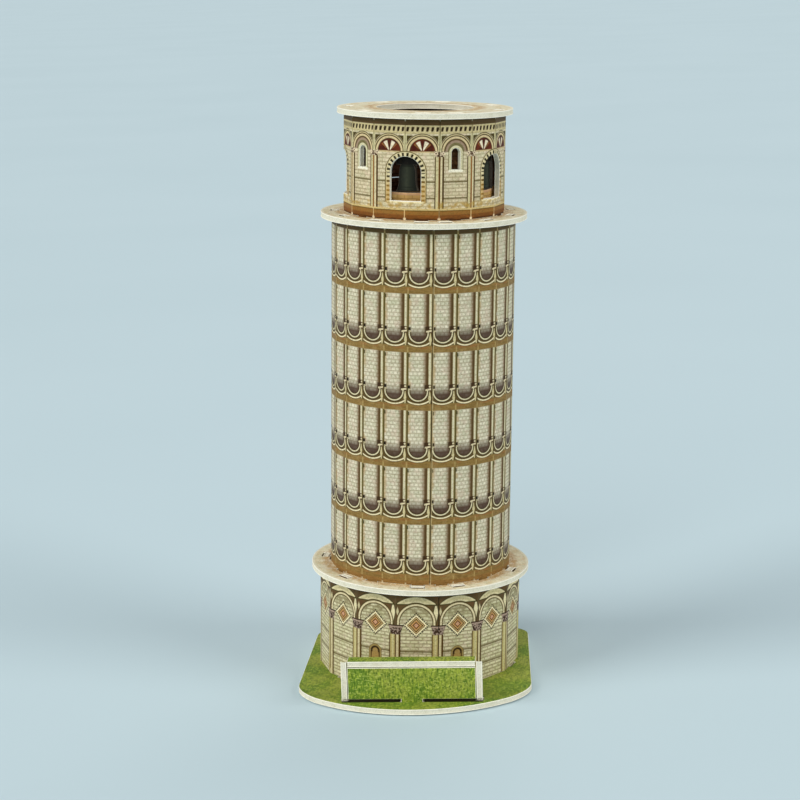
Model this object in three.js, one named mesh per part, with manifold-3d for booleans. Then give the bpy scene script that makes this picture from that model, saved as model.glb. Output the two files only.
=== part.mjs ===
// Foam-board puzzle model of a round leaning bell tower.
// Flat die-cut boards (paper, foam, paper) are folded along scored lines and plugged together
// with tabs and slots. Millimetres, +Z up. The origin is on the underside of the base, below the
// point on which the tower leans. Angles are measured from the front (-Y) towards the right (+X),
// in degrees.

import * as THREE from "three";
import { mergeVertices } from "three/addons/utils/BufferGeometryUtils.js";
import Module from "manifold-3d";

const wasm = await Module();
wasm.setup();

// ---------------------------------------------------------------- driving dimensions

const BOARD = 2.0; // thickness of the foam board
const SEAT = 0.05; // hairline between a board's edge and the board it stands on
const SLOT_GAP = 0.3; // clearance round a tab in its slot, and at every seam
const TAB_PINCH = 0.1; // how much the die squeezes each side of a tab
const TAB_WIDTH = 4.7;
const TAB_ROOT = 3.0; // how far a tab's block runs into its own board, before the two are joined

// Storeys, from the ground up: folded walls with a flat plate on each. foldAt is the angle of the
// strip's first fold, radius is the outer radius at the folds.
const GROUND = { faces: 15, foldAt: 12, radius: 37.4, height: 36.0 };
const SHAFT = { faces: 24, foldAt: 7.5, radius: 33.5, height: 129.2 };
const BELFRY = { faces: 15, foldAt: 12, radius: 29.2, height: 35.4 };
const BELL_RING = { faces: 15, foldAt: 156, radius: 26.0, height: 35.4 };

// Each storey is built upright. Then the whole tower is turned and tipped towards the right about
// the middle of the base's top, and the foot of the ground wall is cut level to stand on the base.
const LEAN = 2.1;
const TURN = 1.2;
const FOOT_SPARE = 1.8; // extra wall below the foot, before it is cut level

const GROUND_PLATE_RADIUS = 40.5;
const SHAFT_PLATE_RADIUS = 37.4;
const TOP_PLATE_RADIUS = 31.65;
const TOP_HOLE_RADIUS = 17.5;
const RIM_STEPS = 96; // straight edges round a plate's rim

// Round-headed doors and windows of the belfry, measured up from the belfry floor.
const DOOR = { width: 11.0, sill: 6.7, top: 22.3 };
const WINDOW = { width: 3.2, sill: 17.7, top: 25.2 };
const DOOR_COUNT = 5;
const FIRST_DOOR_ANGLE = -12;
const FIRST_WINDOW_ANGLE = 24;

// The lining's doors are a little larger than the wall's, with a higher sill and a hanging bell.
const LINING_DOOR = { width: 12.6, sill: 9.5, top: 22.9 };
const BELL = { bottom: 9.9, height: 9.2, rim: 8.0, waist: 6.2, shoulder: 4.6 };
const HEADSTOCK_WIDTH = 8.4;

// Base plate outline: bowed front and back, sides that narrow towards the back.
const BASE = {
  frontCornerX: 42.5,
  frontCornerY: -38.5,
  frontBow: -58.8,
  frontRounding: 7,
  backCornerX: 41.2,
  backCornerY: 29.5,
  backBow: 42.5,
  backRounding: 4.5,
};

// Name board in front of the tower: a low box without a back.
const SIGN = { width: 50.2, front: -50.5, depth: 5.4, lift: 1.0, height: 14.0, gap: 0.3 };
const SIGN_SIDE_DROP = 2.0; // how far a side board's top falls from front to back
const SIGN_FRONT_TAB = 7.7;
const SIGN_SIDE_TAB = 2.6;

// Two half-lapped boards that stand crosswise inside the shaft.
const SPINE = { width: 59, tabWidth: 8, tabOffset: 20 };
const SPINE_ANGLES = [0, 90];

// Faces that carry tabs: every second one, counted from the strip's first fold.
const GROUND_TABS = everySecondFace(0, GROUND.faces - 1);
const BELFRY_TABS = everySecondFace(0, BELFRY.faces - 1);
const BELL_RING_TABS = [0, 5, 10];

const BOW_STEPS = 24; // straight edges along each bowed side of the base
const CUT_INSIDE = 6; // how far a door's cutting block reaches inside and outside its wall
const CUT_OUTSIDE = 2;
const BELL_ROOT = 1; // how far a headstock's block runs into the board above the door

// ---------------------------------------------------------------- levels

const GROUND_FLOOR = BOARD;
const GROUND_TOP = GROUND_FLOOR + GROUND.height;
const SHAFT_FLOOR = GROUND_TOP + BOARD;
const SHAFT_TOP = SHAFT_FLOOR + SHAFT.height;
const BELFRY_FLOOR = SHAFT_TOP + BOARD;
const BELFRY_TOP = BELFRY_FLOOR + BELFRY.height;

// ---------------------------------------------------------------- finishes

const PRINTED_STONE = { color: 0xd8cfa6, roughness: 0.55, metalness: 0 };
const PRINTED_PLATE = { color: 0xd7ceae, roughness: 0.55, metalness: 0 };
const PRINTED_GRASS = { color: 0x7a9a34, roughness: 0.55, metalness: 0 };
const PRINTED_BRICK = { color: 0x6e5030, roughness: 0.6, metalness: 0 };
const PLAIN_BOARD = { color: 0xeceadf, roughness: 0.7, metalness: 0 };

// ---------------------------------------------------------------- small geometry helpers

const radians = THREE.MathUtils.degToRad;

// Point on a circle round the tower's axis.
function around(radius, angle) {
  return new THREE.Vector2(radius * Math.sin(radians(angle)), -radius * Math.cos(radians(angle)));
}

// Solid for joining and cutting, made from a closed three.js geometry.
function solid(geometry) {
  const bare = geometry.index ? geometry.toNonIndexed() : geometry.clone();
  bare.deleteAttribute("normal");
  bare.deleteAttribute("uv");
  const merged = mergeVertices(bare, 1e-4);
  const mesh = new wasm.Mesh({
    numProp: 3,
    vertProperties: new Float32Array(merged.attributes.position.array),
    triVerts: new Uint32Array(merged.index.array),
  });
  return new wasm.Manifold(mesh);
}

// three.js geometry of a finished solid.
function geometryOf(manifold) {
  const mesh = manifold.getMesh();
  const geometry = new THREE.BufferGeometry();
  geometry.setAttribute("position", new THREE.BufferAttribute(new Float32Array(mesh.vertProperties), 3));
  geometry.setIndex(new THREE.BufferAttribute(new Uint32Array(mesh.triVerts), 1));
  geometry.computeVertexNormals();
  return geometry;
}

// Flat outline given as a THREE.Shape, thickened upwards from a level.
function slab(shape, bottom, height, curveSegments = 12) {
  const geometry = new THREE.ExtrudeGeometry(shape, { depth: height, bevelEnabled: false, curveSegments });
  geometry.translate(0, 0, bottom);
  return geometry;
}

// Box standing on a level, its middle at a radius and turned to face an angle.
function standingBlock({ radius, angle, width, thickness, bottom, top }) {
  const geometry = new THREE.BoxGeometry(width, thickness, top - bottom);
  geometry.translate(0, -radius, (bottom + top) / 2);
  geometry.rotateZ(radians(angle));
  return geometry;
}

// Upright outline (x across, y up), thickened along the radius and turned to face an angle.
function radialCut(shape, { inner, outer, angle, bottom }) {
  const depth = outer - inner;
  const geometry = new THREE.ExtrudeGeometry(shape, { depth, bevelEnabled: false, curveSegments: 8 });
  geometry.rotateX(Math.PI / 2);
  geometry.translate(0, -inner, bottom);
  geometry.rotateZ(radians(angle));
  return geometry;
}

// Round-headed opening, its sill on y = 0.
function archShape(width, height) {
  const half = width / 2;
  const shape = new THREE.Shape();
  shape.moveTo(-half, 0);
  shape.lineTo(half, 0);
  shape.lineTo(half, height - half);
  shape.absarc(0, height - half, half, 0, Math.PI, false);
  shape.lineTo(-half, 0);
  return shape;
}

// An upright solid of the tower, brought to the tower's lean.
function leaned(upright) {
  return upright.translate([0, 0, -BOARD]).rotate([0, 0, TURN]).rotate([0, LEAN, 0]).translate([0, 0, BOARD]);
}

// The same for a three.js geometry.
function leaning(geometry) {
  const tipped = geometry.clone();
  tipped.translate(0, 0, -BOARD);
  tipped.rotateZ(radians(TURN));
  tipped.rotateY(radians(LEAN));
  tipped.translate(0, 0, BOARD);
  return tipped;
}

// ---------------------------------------------------------------- folded walls

function faceAngle(storey, index) {
  return storey.foldAt + (index + 0.5) * (360 / storey.faces);
}

// Distance from the axis to the middle of a face's board.
function faceRadius(storey) {
  return storey.radius * Math.cos(Math.PI / storey.faces) - BOARD / 2;
}

function everySecondFace(first, last) {
  const indices = [];
  for (let index = first; index <= last; index += 2) {
    indices.push(index);
  }
  return indices;
}

// Plan outline of a strip folded over the faces from first to last. Its two ends stop half a
// seam's width short of the fold lines where they meet the next board.
function stripOutline(storey, first, last) {
  const step = 360 / storey.faces;
  const innerRadius = storey.radius - BOARD / Math.cos(Math.PI / storey.faces);
  const ends = [first, last + 1];
  const outer = [];
  const inner = [];
  for (let fold = first; fold <= last + 1; fold += 1) {
    const angle = storey.foldAt + fold * step;
    const outerPoint = around(storey.radius, angle);
    const innerPoint = around(innerRadius, angle);
    if (ends.includes(fold)) {
      const inwards = fold === first ? 1 : -1;
      const along = around(1, angle + 90 + (inwards * step) / 2).multiplyScalar((inwards * SLOT_GAP) / 2);
      outerPoint.add(along);
      innerPoint.add(along);
    }
    outer.push(outerPoint);
    inner.unshift(innerPoint);
  }
  return new THREE.Shape([...outer, ...inner]);
}

// Folded wall with tabs that pass up and down into the plates above and below it.
function foldedWall(storey, floor, first, last, tabsUp, tabsDown) {
  const bottom = floor + SEAT;
  const top = floor + storey.height - SEAT;
  let wall = solid(slab(stripOutline(storey, first, last), bottom, top - bottom));
  const tab = { radius: faceRadius(storey), width: TAB_WIDTH, thickness: BOARD - 2 * TAB_PINCH };
  for (const index of tabsUp) {
    const angle = faceAngle(storey, index);
    const block = standingBlock({ ...tab, angle, bottom: top - TAB_ROOT, top: floor + storey.height + BOARD });
    wall = wall.add(solid(block));
  }
  for (const index of tabsDown) {
    const angle = faceAngle(storey, index);
    const block = standingBlock({ ...tab, angle, bottom: floor - BOARD, top: bottom + TAB_ROOT });
    wall = wall.add(solid(block));
  }
  return wall;
}

// Ground storey's wall: leans with the tower, its foot cut level and its tabs plugged into the base.
function groundWall() {
  const spare = { ...GROUND, height: GROUND.height + FOOT_SPARE };
  const upright = foldedWall(spare, GROUND_FLOOR - FOOT_SPARE, 0, GROUND.faces - 1, GROUND_TABS, []);
  let wall = leaned(upright).trimByPlane([0, 0, 1], GROUND_FLOOR + SEAT);
  for (const index of GROUND_TABS) {
    const block = standingBlock({
      radius: faceRadius(GROUND),
      angle: faceAngle(GROUND, index),
      width: TAB_WIDTH,
      thickness: BOARD - 2 * TAB_PINCH,
      bottom: -FOOT_SPARE,
      top: GROUND_FLOOR + FOOT_SPARE + TAB_ROOT,
    });
    wall = wall.add(leaned(solid(block)).trimByPlane([0, 0, 1], 0));
  }
  return geometryOf(wall);
}

// ---------------------------------------------------------------- plates

// Slots for the tabs of a folded wall, as holes in a plate's outline.
function tabSlots(storey, indices) {
  return indices.map((index) => ({
    radius: faceRadius(storey),
    angle: faceAngle(storey, index),
    width: TAB_WIDTH,
  }));
}

// Rectangular hole, its long side square to the radius unless it runs along it.
function slotHole({ radius, angle, width, alongRadius = false }) {
  const long = width / 2 + SLOT_GAP;
  const short = BOARD / 2 + SLOT_GAP;
  const halfWidth = alongRadius ? short : long;
  const halfDepth = alongRadius ? long : short;
  const corners = [
    [-halfWidth, -radius - halfDepth],
    [-halfWidth, -radius + halfDepth],
    [halfWidth, -radius + halfDepth],
    [halfWidth, -radius - halfDepth],
  ];
  const centre = new THREE.Vector2();
  const turned = corners.map(([x, y]) => new THREE.Vector2(x, y).rotateAround(centre, radians(angle)));
  return new THREE.Path(turned);
}

function roundPlate(radius, bottom, slots, holeRadius = 0) {
  const shape = new THREE.Shape();
  shape.absarc(0, 0, radius, 0, 2 * Math.PI, false);
  for (const slot of slots) {
    shape.holes.push(slotHole(slot));
  }
  if (holeRadius > 0) {
    const hole = new THREE.Path();
    hole.absarc(0, 0, holeRadius, 0, 2 * Math.PI, true);
    shape.holes.push(hole);
  }
  return slab(shape, bottom, BOARD, RIM_STEPS / 2);
}

// Height of a bowed edge at x: an arc through (+-halfWidth, y) that reaches bow at x = 0.
function bowedEdge(halfWidth, y, bow) {
  const rise = bow - y;
  const radius = (halfWidth * halfWidth + rise * rise) / (2 * rise);
  return (x) => bow - radius + Math.sign(radius) * Math.sqrt(radius * radius - x * x);
}

function baseOutline() {
  const { frontCornerX, frontCornerY, frontRounding, backCornerX, backCornerY, backRounding } = BASE;
  const front = bowedEdge(frontCornerX, frontCornerY, BASE.frontBow);
  const back = bowedEdge(backCornerX, backCornerY, BASE.backBow);
  const frontEnd = frontCornerX - frontRounding;
  const backEnd = backCornerX - backRounding;
  const shape = new THREE.Shape();
  shape.moveTo(-frontEnd, front(frontEnd));
  for (let step = 1; step <= BOW_STEPS; step += 1) {
    const x = frontEnd * ((2 * step) / BOW_STEPS - 1);
    shape.lineTo(x, front(x));
  }
  shape.quadraticCurveTo(frontCornerX, frontCornerY, frontCornerX, frontCornerY + frontRounding);
  shape.lineTo(backCornerX, backCornerY - backRounding);
  shape.quadraticCurveTo(backCornerX, backCornerY, backEnd, back(backEnd));
  for (let step = 1; step <= BOW_STEPS; step += 1) {
    const x = backEnd * (1 - (2 * step) / BOW_STEPS);
    shape.lineTo(x, back(x));
  }
  shape.quadraticCurveTo(-backCornerX, backCornerY, -backCornerX, backCornerY - backRounding);
  shape.lineTo(-frontCornerX, frontCornerY + frontRounding);
  shape.quadraticCurveTo(-frontCornerX, frontCornerY, -frontEnd, front(frontEnd));
  return shape;
}

function basePlate() {
  const slots = [
    ...tabSlots(GROUND, GROUND_TABS).map((slot) => ({ ...slot, angle: slot.angle + TURN })),
    { radius: -SIGN.front - BOARD / 2, angle: 0, width: SIGN_FRONT_TAB },
  ];
  const shape = baseOutline();
  for (const slot of slots) {
    shape.holes.push(slotHole(slot));
  }
  for (const side of [-1, 1]) {
    shape.holes.push(signSideSlot(side));
  }
  return slab(shape, 0, BOARD, 6);
}

// ---------------------------------------------------------------- belfry openings

function doorAngles() {
  return Array.from({ length: DOOR_COUNT }, (unused, index) => FIRST_DOOR_ANGLE + (index * 360) / DOOR_COUNT);
}

function windowAngles() {
  return Array.from({ length: DOOR_COUNT }, (unused, index) => FIRST_WINDOW_ANGLE + (index * 360) / DOOR_COUNT);
}

function openingCut(opening, angle, storey) {
  const shape = archShape(opening.width, opening.top - opening.sill);
  return solid(
    radialCut(shape, {
      inner: storey.radius - CUT_INSIDE,
      outer: storey.radius + CUT_OUTSIDE,
      angle,
      bottom: BELFRY_FLOOR + opening.sill,
    }),
  );
}

function belfryWall() {
  let wall = foldedWall(BELFRY, BELFRY_FLOOR, 0, BELFRY.faces - 1, BELFRY_TABS, BELFRY_TABS);
  for (const angle of doorAngles()) {
    wall = wall.subtract(openingCut(DOOR, angle, BELFRY));
  }
  for (const angle of windowAngles()) {
    wall = wall.subtract(openingCut(WINDOW, angle, BELFRY));
  }
  return geometryOf(wall);
}

// Outline of a hanging bell with its headstock, its rim on y = 0 and its top above the arch.
function bellShape() {
  const { height, rim, waist, shoulder } = BELL;
  const top = LINING_DOOR.top - BELL.bottom + BELL_ROOT;
  const shape = new THREE.Shape();
  shape.moveTo(-rim / 2, 0);
  shape.lineTo(rim / 2, 0);
  shape.quadraticCurveTo(waist / 2, height * 0.15, waist / 2, height * 0.45);
  shape.quadraticCurveTo(waist / 2, height * 0.9, shoulder / 2, height);
  shape.lineTo(HEADSTOCK_WIDTH / 2, height);
  shape.lineTo(HEADSTOCK_WIDTH / 2, top);
  shape.lineTo(-HEADSTOCK_WIDTH / 2, top);
  shape.lineTo(-HEADSTOCK_WIDTH / 2, height);
  shape.lineTo(-shoulder / 2, height);
  shape.quadraticCurveTo(-waist / 2, height * 0.9, -waist / 2, height * 0.45);
  shape.quadraticCurveTo(-waist / 2, height * 0.15, -rim / 2, 0);
  return shape;
}

// Inner lining of the belfry: doors behind the outer wall's, a bell left hanging in each.
function bellRing() {
  let ring = foldedWall(BELL_RING, BELFRY_FLOOR, 0, BELL_RING.faces - 1, [], BELL_RING_TABS);
  for (const angle of doorAngles()) {
    const bell = solid(
      radialCut(bellShape(), {
        inner: BELL_RING.radius - 2 * CUT_INSIDE,
        outer: BELL_RING.radius + 2 * CUT_OUTSIDE,
        angle,
        bottom: BELFRY_FLOOR + BELL.bottom,
      }),
    );
    ring = ring.subtract(openingCut(LINING_DOOR, angle, BELL_RING).subtract(bell));
  }
  return geometryOf(ring);
}

// ---------------------------------------------------------------- shaft spine

// One spine board, cut half way from above or from below where it crosses the other.
function spineBoard(angle, lapFromTop) {
  const bottom = SHAFT_FLOOR + SEAT;
  const top = SHAFT_TOP - SEAT;
  const middle = (bottom + top) / 2;
  const board = { radius: 0, angle, width: SPINE.width, thickness: BOARD };
  let spine = solid(standingBlock({ ...board, bottom, top }));
  for (const side of [-1, 1]) {
    const tab = new THREE.BoxGeometry(
      SPINE.tabWidth,
      BOARD - 2 * TAB_PINCH,
      SHAFT.height + 2 * BOARD,
    );
    tab.translate(side * SPINE.tabOffset, 0, middle);
    tab.rotateZ(radians(angle));
    spine = spine.add(solid(tab));
  }
  const lap = new THREE.BoxGeometry(BOARD + 2 * SLOT_GAP, 3 * BOARD, SHAFT.height);
  const lapShift = SHAFT.height / 2 - SLOT_GAP / 2;
  lap.translate(0, 0, lapFromTop ? middle + lapShift : middle - lapShift);
  lap.rotateZ(radians(angle));
  return geometryOf(spine.subtract(solid(lap)));
}

// Slots for the spine boards' tabs in the plates above and below the shaft.
function spineSlots() {
  return SPINE_ANGLES.flatMap((angle) => [0, 180].map((turn) => ({
    radius: SPINE.tabOffset,
    angle: angle + 90 + turn,
    width: SPINE.tabWidth,
    alongRadius: true,
  })));
}

// ---------------------------------------------------------------- name board

const SIGN_BOTTOM = BOARD + SIGN.lift;
const SIGN_TOP = SIGN_BOTTOM + SIGN.height;
const SIGN_INNER_WIDTH = SIGN.width - 2 * BOARD - 2 * SIGN.gap;
const SIGN_MIDDLE_Y = SIGN.front + SIGN.depth / 2;

function signSideX(side) {
  return side * (SIGN.width / 2 - BOARD / 2);
}

function signSideSlot(side) {
  const halfWidth = BOARD / 2 + SLOT_GAP;
  const halfDepth = SIGN_SIDE_TAB / 2 + SLOT_GAP;
  const x = signSideX(side);
  return new THREE.Path([
    new THREE.Vector2(x - halfWidth, SIGN_MIDDLE_Y - halfDepth),
    new THREE.Vector2(x - halfWidth, SIGN_MIDDLE_Y + halfDepth),
    new THREE.Vector2(x + halfWidth, SIGN_MIDDLE_Y + halfDepth),
    new THREE.Vector2(x + halfWidth, SIGN_MIDDLE_Y - halfDepth),
  ]);
}

function signFrontPanel() {
  const height = SIGN.height - BOARD - SIGN.gap;
  const panel = new THREE.BoxGeometry(SIGN_INNER_WIDTH, BOARD, height);
  panel.translate(0, SIGN.front + BOARD / 2, SIGN_BOTTOM + height / 2);
  const tabHeight = SIGN_BOTTOM + TAB_ROOT;
  const tab = new THREE.BoxGeometry(SIGN_FRONT_TAB, BOARD - 2 * TAB_PINCH, tabHeight);
  tab.translate(0, SIGN.front + BOARD / 2, tabHeight / 2);
  return geometryOf(solid(panel).add(solid(tab)));
}

function signTopPanel() {
  const panel = new THREE.BoxGeometry(SIGN_INNER_WIDTH, SIGN.depth, BOARD);
  panel.translate(0, SIGN_MIDDLE_Y, SIGN_TOP - BOARD / 2);
  return panel;
}

function signSide(side) {
  const profile = new THREE.Shape([
    new THREE.Vector2(0, SIGN_BOTTOM),
    new THREE.Vector2(SIGN.depth, SIGN_BOTTOM),
    new THREE.Vector2(SIGN.depth, SIGN_TOP - SIGN_SIDE_DROP),
    new THREE.Vector2(0, SIGN_TOP),
  ]);
  const panel = new THREE.ExtrudeGeometry(profile, { depth: BOARD, bevelEnabled: false });
  panel.rotateX(Math.PI / 2);
  panel.rotateZ(Math.PI / 2);
  panel.translate(signSideX(side) - BOARD / 2, SIGN.front, 0);
  const tabHeight = SIGN_BOTTOM + TAB_ROOT;
  const tab = new THREE.BoxGeometry(BOARD - 2 * TAB_PINCH, SIGN_SIDE_TAB, tabHeight);
  tab.translate(signSideX(side), SIGN_MIDDLE_Y, tabHeight / 2);
  return geometryOf(solid(panel).add(solid(tab)));
}

// ---------------------------------------------------------------- assembly

const tower = new THREE.Group();

function place(name, geometry, finish) {
  const mesh = new THREE.Mesh(geometry, new THREE.MeshStandardMaterial(finish));
  mesh.name = name;
  tower.add(mesh);
}

const shaftHalf = SHAFT.faces / 2;
const shaftTabsRight = everySecondFace(0, shaftHalf - 1);
const shaftTabsLeft = everySecondFace(shaftHalf + 1, SHAFT.faces - 1);
const shaftSlots = tabSlots(SHAFT, [...shaftTabsRight, ...shaftTabsLeft]);
const groundTop = [...tabSlots(GROUND, GROUND_TABS), ...shaftSlots, ...spineSlots()];
const belfryFloorSlots = [
  ...shaftSlots,
  ...tabSlots(BELFRY, BELFRY_TABS),
  ...tabSlots(BELL_RING, BELL_RING_TABS),
  ...spineSlots(),
];

place("base_plate", basePlate(), PRINTED_GRASS);
place("ground_wall", groundWall(), PRINTED_STONE);
place("ground_top_plate", leaning(roundPlate(GROUND_PLATE_RADIUS, GROUND_TOP, groundTop)), PRINTED_PLATE);
place(
  "shaft_wall_right",
  geometryOf(leaned(foldedWall(SHAFT, SHAFT_FLOOR, 0, shaftHalf - 1, shaftTabsRight, shaftTabsRight))),
  PRINTED_STONE,
);
place(
  "shaft_wall_left",
  geometryOf(leaned(foldedWall(SHAFT, SHAFT_FLOOR, shaftHalf, SHAFT.faces - 1, shaftTabsLeft, shaftTabsLeft))),
  PRINTED_STONE,
);
place("shaft_spine_across", leaning(spineBoard(SPINE_ANGLES[0], true)), PLAIN_BOARD);
place("shaft_spine_along", leaning(spineBoard(SPINE_ANGLES[1], false)), PLAIN_BOARD);
place(
  "belfry_floor_plate",
  leaning(roundPlate(SHAFT_PLATE_RADIUS, SHAFT_TOP, belfryFloorSlots)),
  PRINTED_PLATE,
);
place("belfry_wall", leaning(belfryWall()), PRINTED_STONE);
place("bell_ring", leaning(bellRing()), PRINTED_BRICK);
place(
  "top_ring_plate",
  leaning(roundPlate(TOP_PLATE_RADIUS, BELFRY_TOP, tabSlots(BELFRY, BELFRY_TABS), TOP_HOLE_RADIUS)),
  PRINTED_PLATE,
);
place("sign_front_panel", signFrontPanel(), PRINTED_GRASS);
place("sign_top_panel", signTopPanel(), PRINTED_GRASS);
place("sign_side_left", signSide(-1), PRINTED_GRASS);
place("sign_side_right", signSide(1), PRINTED_GRASS);

export default tower;
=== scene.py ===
"""Looks of the foam-board bell tower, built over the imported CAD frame.

Every CAD board is replaced by a layered board: printed skin, foam core seen at the cut edges and
plain or printed back. Outlines are flat, in millimetres, and are folded round the tower's axis.
A wall's print runs along u (across the strip, from its first fold) and v (up from its floor).
Angles are measured from the front (-Y) towards the right (+X), in degrees.
"""

import math

import bpy
from mathutils import Matrix, Vector
from mathutils.geometry import delaunay_2d_cdt


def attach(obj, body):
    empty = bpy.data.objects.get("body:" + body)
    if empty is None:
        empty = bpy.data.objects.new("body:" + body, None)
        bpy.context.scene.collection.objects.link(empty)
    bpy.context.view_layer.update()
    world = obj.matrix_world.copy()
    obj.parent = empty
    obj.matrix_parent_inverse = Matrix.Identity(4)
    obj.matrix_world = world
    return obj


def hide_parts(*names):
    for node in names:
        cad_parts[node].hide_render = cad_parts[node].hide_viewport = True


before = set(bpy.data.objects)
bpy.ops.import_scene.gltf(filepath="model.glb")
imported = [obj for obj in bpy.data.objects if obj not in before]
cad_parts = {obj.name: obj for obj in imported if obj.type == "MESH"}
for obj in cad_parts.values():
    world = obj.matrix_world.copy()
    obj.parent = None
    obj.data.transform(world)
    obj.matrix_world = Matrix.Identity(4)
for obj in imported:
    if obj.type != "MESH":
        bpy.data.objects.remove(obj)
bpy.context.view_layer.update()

# ------------------------------------------------------------------ sizes, in millimetres

MM = 0.001
BOARD = 2.0
SEAT = 0.05
SLOT_GAP = 0.3
SLOT_LEAD = 0.4  # further clearance on the outer side of a slot
TAB_RISE = 0.2  # how far a tab stands above the plate that it holds
SEAM_GAP = 0.2
FOOT_SHORT = 0.12  # how far the lowest tabs stop short of the base's underside
TAB_WIDTH = 4.7
FOLD_ROUNDING = 0.32
PAPER = 0.24
EDGE_SOFTENING = 0.13
FOAM_RECESS = 0.10
FOAM_STEP = 0.04  # depth over which the edge goes from paper to recessed foam
PRINT_SLOT, BACK_SLOT, PAPER_SLOT, FOAM_SLOT = range(4)  # a board's materials

GROUND = {"faces": 15, "fold_at": 12.0, "radius": 37.4, "height": 36.0, "floor": 2.0}
SHAFT = {"faces": 24, "fold_at": 7.5, "radius": 33.5, "height": 129.2, "floor": 40.0}
BELFRY = {"faces": 15, "fold_at": 12.0, "radius": 29.2, "height": 35.4, "floor": 171.2}
BELL_RING = {"faces": 15, "fold_at": 156.0, "radius": 26.0, "height": 35.4, "floor": 171.2}

# the tower is turned and tipped about the middle of the base's top, in degrees
LEAN = 2.1
TURN = 1.2

GROUND_PLATE_RADIUS = 40.5
SHAFT_PLATE_RADIUS = 37.4
TOP_PLATE_RADIUS = 31.65
TOP_HOLE_RADIUS = 17.5
RIM_STEPS = 192
BOW_STEPS = 48

DOOR = {"width": 11.0, "sill": 6.7, "top": 22.3}
WINDOW = {"width": 3.2, "sill": 17.7, "top": 25.2}
DOOR_ANGLES = [-12 + 72 * k for k in range(5)]
WINDOW_ANGLES = [24 + 72 * k for k in range(5)]
LINING_DOOR = {"width": 12.6, "sill": 9.5, "top": 22.9}
BELL = {"bottom": 9.9, "height": 9.2, "rim": 8.0, "waist": 6.2, "shoulder": 4.6, "stock": 8.4}
ARC_STEPS = 28
SHORT_ARC_STEPS = 8

BASE = {
    "front_x": 42.5, "front_y": -38.5, "front_bow": -58.8, "front_rounding": 7.0,
    "back_x": 41.2, "back_y": 29.5, "back_bow": 42.5, "back_rounding": 4.5,
}
SIGN = {
    "width": 50.2, "front": -50.5, "depth": 5.4, "bottom": 3.0, "height": 14.0, "gap": 0.3, "drop": 2.0,
}
SIGN_FRONT_TAB = 7.7
SIGN_SIDE_TAB = 2.6
SPINE = {"width": 59.0, "tab": 8.0, "offset": 20.0}

GROUND_TABS = list(range(0, 15, 2))
BELFRY_TABS = list(range(0, 15, 2))
BELL_RING_TABS = [0, 5, 10]
SHAFT_RIGHT_TABS = list(range(0, 12, 2))
SHAFT_LEFT_TABS = list(range(13, 24, 2))

PLATE_RING_INSET = 1.5  # how far a plate's printed ring starts inside the wall's folds

# camera of the reference view
CAMERA = {"distance": 765.0, "height": 265.0, "sideways": 8.1, "yaw": 2.1, "pitch": 12.1, "roll": 0.48}
LENS = 95.3
SENSOR = 36.0


def around(radius, angle):
    a = math.radians(angle)
    return Vector((radius * math.sin(a), -radius * math.cos(a)))


PIVOT = Matrix.Translation((0, 0, BOARD))
TIPPING = Matrix.Rotation(math.radians(LEAN), 4, "Y") @ Matrix.Rotation(math.radians(TURN), 4, "Z")
TIPPED = PIVOT @ TIPPING @ PIVOT.inverted()


def leaning(place):
    """Brings a board that is placed upright to the tower's lean."""
    return lambda u, v, depth: tuple(TIPPED @ Vector(place(u, v, depth)))


def face_width(storey):
    return 2 * storey["radius"] * math.sin(math.pi / storey["faces"])


def slot_radius(storey):
    return storey["radius"] * math.cos(math.pi / storey["faces"]) - BOARD / 2


def folds_to(storey, angle):
    """How many folds, counted from the strip's first one, lie before an angle."""
    return (angle - storey["fold_at"]) % 360 * storey["faces"] / 360


def face_angle(storey, index):
    return storey["fold_at"] + (index + 0.5) * 360 / storey["faces"]


# ------------------------------------------------------------------ layered boards


def inside(point, loops):
    """Even-odd test of a point against closed loops."""
    x, y = point
    hit = False
    for loop in loops:
        for (x0, y0), (x1, y1) in zip(loop, loop[1:] + loop[:1]):
            if (y0 > y) != (y1 > y) and x < (x1 - x0) * (y - y0) / (y1 - y0) + x0:
                hit = not hit
    return hit


def triangulate(loops, folds):
    """Triangles of a flat outline with holes, split along upright fold lines."""
    points, edges = [], []
    for loop in loops:
        start = len(points)
        points += [Vector(p) for p in loop]
        count = len(loop)
        edges += [(start + i, start + (i + 1) % count) for i in range(count)]
    low = min(p.y for p in points) - 1
    high = max(p.y for p in points) + 1
    for u in folds:
        points += [Vector((u, low)), Vector((u, high))]
        edges.append((len(points) - 2, len(points) - 1))
    verts, _, faces, _, _, _ = delaunay_2d_cdt(points, edges, [], 0, 1e-5, False)
    kept = []
    for face in faces:
        a, b, c = (verts[i] for i in face)
        area = (b - a).cross(c - a)
        if abs(area) < 1e-9:
            continue
        if inside((a + b + c) / 3, loops):
            kept.append(tuple(face) if area > 0 else tuple(reversed(face)))
    used = sorted({i for face in kept for i in face})
    renumber = {old: new for new, old in enumerate(used)}
    return [verts[i] for i in used], [tuple(renumber[i] for i in face) for face in kept]


def rim_of(faces):
    """Directed outline edges, with the board on their left."""
    directed = {(f[i], f[(i + 1) % 3]) for f in faces for i in range(3)}
    return [(a, b) for a, b in directed if (b, a) not in directed]


def inward_steps(verts, rim):
    """For each outline vertex, the flat direction that leads into the board."""
    normals = {}
    for a, b in sorted(rim):
        along = (verts[b] - verts[a]).normalized()
        left = Vector((-along.y, along.x))
        normals.setdefault(a, []).append(left)
        normals.setdefault(b, []).append(left)
    steps = {}
    for vertex, found in normals.items():
        total = found[0] + found[-1]
        length = max(total.length, 0.6)
        steps[vertex] = total / length * min(1.6, 2 / length)
    return steps


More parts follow.
